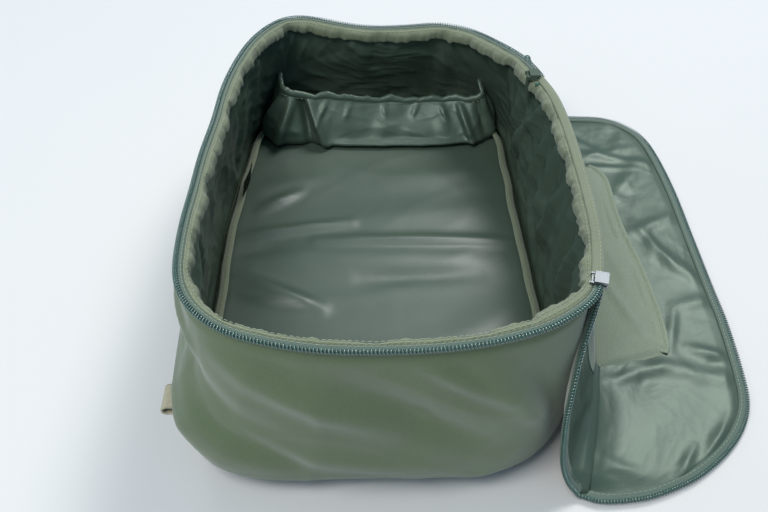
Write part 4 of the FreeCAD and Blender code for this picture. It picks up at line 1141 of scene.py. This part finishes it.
class BACKPACK_OT_lid_flap(bpy.types.Operator):
    """Lays the rest of the lid on the floor: padded cover below, crumpled lining above, zip along its free edge"""

    bl_idname = "backpack.lid_flap"
    bl_label = "Lid flap"

    def execute(self, context):
        x, y, _ = flap_grid(170, 90)
        cover = surface("flap_cover", np.stack([x, y, np.full_like(x, 1.0)], -1))
        thicken(cover, 1.6, 0.0)
        dress(cover, "brushed_polyester_canvas", "lid_flap", ["lid_flap_cover", "lid_flap_foam"])
        x, y, u = flap_grid(190, 100, inset=2.0)
        z = flap_height(x, y, u[None], FLAP_Z)
        lining = surface("flap_lining_cloth", np.stack([x, y, z], -1), turned=True)
        thicken(lining, sizes().lining / MM)
        dress(lining, "coated_nylon_lining", "lid_flap", ["lid_flap_lining"])

        path = np.column_stack([EDGE, np.full(len(EDGE), FLAP_Z + 0.4)])
        t = tangents(path)
        inward = np.column_stack([-t[:, 1], t[:, 0], np.zeros(len(t))])
        up = np.tile(UP, (len(t), 1))
        tape = sweep(
            "flap_tape", path, inward, up,
            [(-1.0, -3.4), (-1.4, -0.4), (0.0, 1.0), (2.4, 1.5), (6.4, 1.6), (7.2, 0.9), (6.6, -0.4), (2.0, -1.6)],
        )  # fmt: skip
        dress(tape, "woven_zip_tape", "lid_flap", ["lid_flap_tape"])
        coil = zip_coil("flap_coil", path - inward * 0.9 + up * 0.4, inward, up)
        dress(coil, "polyester_monofilament", "lid_flap", ["lid_flap_coil"])
        sew("flap_thread", path + inward * 4.6 + up * 1.6, up, "lid_flap")
        return {"FINISHED"}


class BACKPACK_OT_mesh_pocket(bpy.types.Operator):
    """Sews the net pocket across the lid, with its hem and its gathered end seams"""

    bl_idname = "backpack.mesh_pocket"
    bl_label = "Mesh pocket"

    def execute(self, context):
        # On the flap: from the fold to the hem, between the two end seams.
        hem_points = [
            (262, -117), (266, -107), (268, -77), (267, -38), (264, 0), (258, 39), (256, 85), (256, 122), (250, 139),
            (241, 151),
        ]  # fmt: skip
        hem = spline(hem_points, 130)
        v = np.linspace(0, 1, 130)
        y0 = -140 + (160 + 140) * v
        left = np.stack([fold_line(y0) + 0.5, y0], 1)
        s = np.linspace(0, 1, 60)[:, None]
        xy = left[None] * (1 - s[..., None]) + hem[None] * s[..., None]
        ends = ease(v / 0.04) * ease((1 - v) / 0.04)
        table = [
            (200, -120, 262, -60, 9, 2.0), (205, -30, 258, 40, 12, 2.2), (215, 60, 250, 140, 10, 2.4),
            (196, 110, 240, 150, 8, 1.8), (230, -110, 258, -100, 6, 1.6), (236, -60, 250, 20, 7, 1.8),
            (212, -90, 224, 30, 12, 1.4), (198, 40, 246, -100, 5, 2.4), (206, 90, 240, -20, 6, 2.0),
        ]  # fmt: skip
        x, y = xy[..., 0], xy[..., 1]
        rise = 2.2 + 2.6 * np.sin(np.pi * s) ** 0.7 * ends[None] + np.maximum(creases(x, y, table), 0)
        base = flap_height(x, y, 0.5, FLAP_Z) * 0.25 + FLAP_Z * 0.75
        grid = np.concatenate([xy, (base + rise * (0.25 + 0.75 * ends[None]))[..., None]], -1)
        net = surface("pocket_mesh_flap", grid)
        thicken(net, 0.7)
        dress(net, "knitted_mesh", "lid_flap", ["mesh_pocket_flap"])

        line = grid[-1]
        t = tangents(line)
        inward = np.column_stack([t[:, 1], -t[:, 0], np.zeros(len(t))])
        inward = inward * np.sign(-inward[:, :1].mean())
        up = np.tile(UP, (len(t), 1))
        band = sweep(
            "pocket_hem", line, inward, up,
            [(-1.4, -1.6), (-2.2, 0.2), (-1.2, 2.2), (0.8, 2.3), (2.0, 1.5), (9.6, 1.4), (10.8, 2.2), (12.6, 1.8),
             (13.2, 0.2), (3.0, -0.6)],
        )  # fmt: skip
        dress(band, "knitted_mesh", "lid_flap", ["mesh_pocket_hem"])
        for name, inset, rise in (("pocket_hem_thread_a", 2.4, 1.7), ("pocket_hem_thread_b", 9.4, 1.6)):
            sew(name, line + inward * inset + up * rise, up, "lid_flap")

        # On the flank: the same net carried up to the hinge.
        flank, facing, _, y = flank_grid()
        cols = np.linspace(-132.0, 158.0, 110)
        rows = np.linspace(9, 69, 40).astype(int)

        def pick(values, r):
            """Row r of the flank's values, read off at the net's own columns."""
            return np.stack([np.interp(cols, y[r], values[r, :, k]) for k in range(3)], 1)

        net_grid = np.stack([pick(flank, r) for r in rows], 0)
        net_face = np.stack([unit(pick(facing, r)) for r in rows], 0)
        s = np.linspace(0, 1, 40)[:, None]
        q = np.linspace(0, 1, 110)[None]
        swell = 0.9 + (2.2 + 3.0 * np.sin(np.pi * s)) * ease(q / 0.06) * ease((1 - q) / 0.06)
        hung = surface("pocket_mesh_flank", net_grid + net_face * swell[..., None])
        thicken(hung, 0.7)
        dress(hung, "knitted_mesh", "lid_flank", ["mesh_pocket_flank"])
        flatten_when_closed(hung)
        return {"FINISHED"}


# ---------------------------------------------------------------- back, straps and small parts


def pad_mesh(name, outline, low, high, edge):
    """A padded slab on an outline: rings that step inwards and up, so that its edges are round, with a centre fan."""
    n = len(outline)
    t = tangents(np.column_stack([outline, np.zeros(n)]), closed=True)[:, :2]
    inward = np.stack([-t[:, 1], t[:, 0]], 1)
    area = np.sum(outline[:, 0] * np.roll(outline[:, 1], -1) - np.roll(outline[:, 0], -1) * outline[:, 1])
    inward = inward * np.sign(area)
    mid = (low + high) / 2
    half = (high - low) / 2
    angles = np.linspace(-np.pi / 2, np.pi / 2, 9)
    rings = [
        np.column_stack([outline + inward * (edge * (1 - math.cos(a))), np.full(n, mid + half * math.sin(a))])
        for a in angles
    ]
    centre = outline.mean(0)

    def shrink(ring, share):
        return np.column_stack([ring[:, :2] * (1 - share) + centre * share, ring[:, 2]])

    inner = [0.3, 0.6, 0.85, 0.98]
    grid = np.stack([shrink(rings[0], s) for s in inner[::-1]] + rings + [shrink(rings[-1], s) for s in inner], 0)
    return surface(name, grid, loop_cols=True, turned=area > 0)


def close_ends(piece):
    """Closes the open ends of a lofted slab with one face each."""
    made = bmesh.new()
    made.from_mesh(piece.data)
    bmesh.ops.holes_fill(made, edges=[e for e in made.edges if e.is_boundary], sides=0)
    bmesh.ops.recalc_face_normals(made, faces=made.faces)
    made.to_mesh(piece.data)
    made.free()
    return piece


def puff(piece, cap, pressure=4.0, voxel=5.0, levels=1):
    """Swells a slab by simulation: remesh to even voxels, inflate as cloth without gravity for 20 frames, and let
    no point move further than the cap."""
    scene = bpy.context.scene
    remesh = piece.modifiers.new("Voxels", "REMESH")
    remesh.mode, remesh.voxel_size = "VOXEL", voxel * MM
    piece.data = bpy.data.meshes.new_from_object(piece.evaluated_get(bpy.context.evaluated_depsgraph_get()))
    piece.modifiers.clear()
    start = np.empty(len(piece.data.vertices) * 3)
    piece.data.vertices.foreach_get("co", start)
    cloth = piece.modifiers.new("Filling", "CLOTH")
    cloth.settings.use_pressure = True
    cloth.settings.uniform_pressure_force = pressure
    cloth.settings.effector_weights.gravity = 0
    cloth.point_cache.frame_start, cloth.point_cache.frame_end = 1, 20
    for number in range(1, 21):
        scene.frame_set(number)
    swollen = piece.evaluated_get(bpy.context.evaluated_depsgraph_get()).to_mesh()
    end = np.empty_like(start)
    swollen.vertices.foreach_get("co", end)
    piece.evaluated_get(bpy.context.evaluated_depsgraph_get()).to_mesh_clear()
    move = (end - start).reshape(-1, 3)
    size = np.linalg.norm(move, axis=1, keepdims=True)
    move = move * np.minimum(1, cap * MM / np.maximum(size, 1e-9))
    piece.modifiers.clear()
    scene.frame_set(1)
    piece.data.vertices.foreach_set("co", (start.reshape(-1, 3) + move).ravel())
    piece.data.polygons.foreach_set("use_smooth", np.ones(len(piece.data.polygons), bool))
    sub = piece.modifiers.new("Smooth", "SUBSURF")
    sub.levels = sub.render_levels = levels
    return piece


class BACKPACK_OT_back(bpy.types.Operator):
    """Builds the back panel, its spine pad and the folded shoulder straps that the bag stands on"""

    bl_idname = "backpack.back"
    bl_label = "Back and straps"

    def execute(self, context):
        foot = even(np.vstack([BASE_XY, BASE_XY[:1]]), 160, closed=True)
        t = tangents(np.column_stack([foot, np.zeros(len(foot))]), closed=True)[:, :2]
        inner = foot + np.stack([t[:, 1], -t[:, 0]], 1) * 23.0
        back = close_ends(pad_mesh("back_panel", inner, 13.4, 26.6, 6.0))
        dress(back, "spacer_mesh", "shell", ["back_cover", "back_foam"])

        (a, c, _), (b, d, _) = node_box("spine_pad")
        corners = [(a, c + 8), (a, d - 8), (a + 6, d), (b - 6, d), (b, d - 8), (b, c + 8), (b - 6, c), (a + 6, c)]
        ring = spline(corners, 90, closed=True)
        spine = close_ends(pad_mesh("spine_cushion", ring, 1.2, 12.4, 5.0))
        puff(spine, 1.0)
        dress(spine, "spacer_mesh", "shell", ["spine_pad"])

        for side, sign in (("left", -1), ("right", 1)):
            inside = [(17, 212), (17, 120), (18, 30), (36, -50), (54, -112)]
            outside = [
                (58, -119), (96, -119), (104, -108), (95, -50), (88, 10), (89, 60), (89, 200), (82, 214), (30, 215),
            ]  # fmt: skip
            ring = spline([(sign * x, y) for x, y in inside + outside], 200, closed=True)
            strap = close_ends(pad_mesh(f"strap_{side}", ring, 1.0, 12.2, 5.5))
            puff(strap, 1.2)
            dress(strap, "spacer_mesh", "shell", [f"shoulder_strap_{side}"])
            edge = np.column_stack([ring, np.full(len(ring), 6.6)])
            way = tangents(edge, closed=True)
            outward = np.column_stack([way[:, 1], -way[:, 0], np.zeros(len(way))]) * (-1 if sign < 0 else 1)
            outward = outward * np.sign(np.sum(outward * (edge - edge.mean(0))))
            binding = sweep(
                f"strap_edge_{side}", edge, outward, np.tile(UP, (len(edge), 1)),
                [(-3, -4.6), (0.2, -4.0), (0.9, -2.0), (0.9, 2.0), (0.2, 4.0), (-3, 4.6), (-1, 0)], closed_path=True,
            )  # fmt: skip
            dress(binding, "nylon_grosgrain", "shell", [f"strap_binding_{side}"])
            for part in ("webbing", "anchor"):
                node, count = f"strap_{part}_{side}", 60
                low, high = node_box(node)
                y = np.linspace(low[1] + 0.5, high[1] - 0.5, count)[:, None]
                if part == "webbing":
                    z = 2.4 + 6.4 * ease((y.max() - y) / 60)
                    half = 12.5
                else:
                    z = np.full((count, 1), 11.4)
                    half = (high[0] - low[0]) / 2 * np.linspace(1.0, 0.56, count)[:, None]
                x = (low[0] + high[0]) / 2 + half * np.linspace(-1, 1, 14)[None]
                strip = surface(f"{node}_tape", np.stack(np.broadcast_arrays(x, y, z), -1))
                thicken(strip, 1.7, 0.0)
                dress(strip, "black_polypropylene_webbing", "shell", [node])
        return {"FINISHED"}


class BACKPACK_OT_small_parts(bpy.types.Operator):
    """Makes the care label, the side loops and the grab handle"""

    bl_idname = "backpack.small_parts"
    bl_label = "Small parts"

    def execute(self, context):
        # Care label: a folded satin tag that stands off the left wall, with plain woven bars.
        def tag(rows, cols, out=0.0, rise=0.0):
            """Points of the folded tag at shares of its height and width, moved off its face."""
            r, c = rows[:, None], cols[None]
            x = -146.5 + out + 12.0 * r + 1.5 * np.sin(3 * r)
            return np.stack(
                np.broadcast_arrays(x, 76.0 + 24.0 * c + 2.0 * r, 33.0 + rise + 33.0 * r - 4.0 * r**2), -1
            )

        label = surface("care_tag", tag(np.linspace(0, 1, 26), np.linspace(0, 1, 14)))
        thicken(label, 0.6, 0.0)
        dress(label, "acetate_satin", "shell", ["care_label"])
        for k in range(4):
            low = 0.22 + 0.18 * k
            bar = tag(np.linspace(low, low + 0.05, 4), np.linspace(0.15, 0.85, 8), out=0.4, rise=0.3)
            strip = surface(f"care_tag_bar_{k + 1}", bar)
            thicken(strip, 0.3, 0.0)
            dress(strip, "sewing_thread", "shell")

        # Side loops: 25 mm webbing folded back on itself and caught in the foot seam.
        for side, sign in (("left", -1), ("right", 1)):
            low, high = node_box(f"side_loop_{side}")
            _, mid_y, mid_z = (low + high) / 2
            root = 147.0 if sign > 0 else 168.0  # the right loop is pressed flat by the lid
            reach = 156.0 if sign > 0 else 187.0
            mid_y = -158.0 if sign > 0 else mid_y + 3.0
            bend = np.linspace(-np.pi / 2, np.pi / 2, 14)
            outline = np.vstack(
                [
                    [(root, mid_z - 3.0), (root + 6, mid_z - 3.6)],
                    np.column_stack([reach - 4.5 + 4.5 * np.cos(bend), mid_z + 4.5 * np.sin(bend)]),
                    [(root + 6, mid_z + 3.6), (root, mid_z + 3.0)],
                ]
            )
            outline = spline(outline, 50)
            wide = np.linspace(-11.5, 11.5, 12)
            turn = math.radians(18.6 if sign > 0 else 2.0)
            out, high = outline[:, :1], outline[:, 1:]
            x = sign * (out - wide[None] * math.sin(turn))
            y = mid_y + wide[None] * math.cos(turn) - (out - root) * math.sin(turn)
            loop = surface(f"loop_{side}", np.stack(np.broadcast_arrays(x, y, high), -1))
            thicken(loop, 1.7, 0.0)
            dress(loop, "tan_polypropylene_webbing", "shell", [f"side_loop_{side}"])

        # Grab handle on the far end, with its two sewn tabs.
        low, high = node_box("grab_handle")
        mid_z = (low[2] + high[2]) / 2
        half_grip = [(58, 251.6), (42, 252.2), (38, 258), (30, 272), (12, 280)]
        line = spline([(-x, y) for x, y in half_grip] + half_grip[::-1], 120)
        wide = np.linspace(-12.5, 12.5, 12)
        grip = 1 - 0.25 * ease((line[:, 1] - 262) / 12)
        grid = np.stack(np.broadcast_arrays(line[:, :1], line[:, 1:], mid_z + grip[:, None] * wide[None]), -1)
        handle = surface("handle_web", grid)
        thicken(handle, 2.2, 0.0)
        dress(handle, "tan_polypropylene_webbing", "shell", ["grab_handle", "handle_anchor"])
        for side, sign in (("left", -1), ("right", 1)):
            box = np.array([(41, -10), (56, -10), (56, 10), (41, 10), (41, -10), (56, 10)], float)
            row = even(np.column_stack([sign * box[:, 0], np.full(6, 253.4), mid_z + box[:, 1]]), 120)
            sew(f"handle_thread_{side}", row, np.tile([0, 1.0, 0], (120, 1)), "shell")
        return {"FINISHED"}


class BACKPACK_OT_hardware(bpy.types.Operator):
    """Finishes the sliders, pullers, stops and buckles of the frame in their real materials"""

    bl_idname = "backpack.hardware"
    bl_label = "Hardware"

    def execute(self, context):
        kinds = {
            "near_slider": "nickel_plated_zinc", "far_slider": "lacquered_zinc",
            "near_puller": "nickel_plated_zinc", "far_puller": "lacquered_zinc",
            "zip_end_stops": "polyester_monofilament",
            "ladder_lock_left": "moulded_acetal", "ladder_lock_right": "moulded_acetal",
        }  # fmt: skip
        for node, kind in kinds.items():
            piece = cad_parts[node]
            piece.data.materials.clear()
            piece.data.materials.append(finish(kind))
        return {"FINISHED"}


class BACKPACK_PT_panel(bpy.types.Panel):
    """Lists the steps and the settings"""

    bl_label = "Backpack"
    bl_idname = "BACKPACK_PT_panel"
    bl_space_type = "VIEW_3D"
    bl_region_type = "UI"
    bl_category = "Backpack"

    def draw(self, context):
        for step in STEPS:
            self.layout.operator(step.bl_idname)
        for settings in (context.scene.backpack_colours, context.scene.backpack_sizes):
            for name in settings.__annotations__:
                self.layout.prop(settings, name)


STEPS = (
    BACKPACK_OT_stage,
    BACKPACK_OT_tub_shell,
    BACKPACK_OT_lining,
    BACKPACK_OT_rim,
    BACKPACK_OT_pouch,
    BACKPACK_OT_lid_flank,
    BACKPACK_OT_lid_flap,
    BACKPACK_OT_mesh_pocket,
    BACKPACK_OT_back,
    BACKPACK_OT_small_parts,
    BACKPACK_OT_hardware,
)
CLASSES = (BackpackColours, BackpackSizes) + STEPS + (BACKPACK_PT_panel,)


def register():
    for kind in CLASSES:
        bpy.utils.register_class(kind)
    bpy.types.Scene.backpack_colours = bpy.props.PointerProperty(type=BackpackColours)
    bpy.types.Scene.backpack_sizes = bpy.props.PointerProperty(type=BackpackSizes)


def unregister():
    del bpy.types.Scene.backpack_sizes
    del bpy.types.Scene.backpack_colours
    for kind in reversed(CLASSES):
        bpy.utils.unregister_class(kind)


def main():
    register()
    for step in STEPS:
        group, name = step.bl_idname.split(".")
        getattr(getattr(bpy.ops, group), name)()


if __name__ == "__main__":
    main()
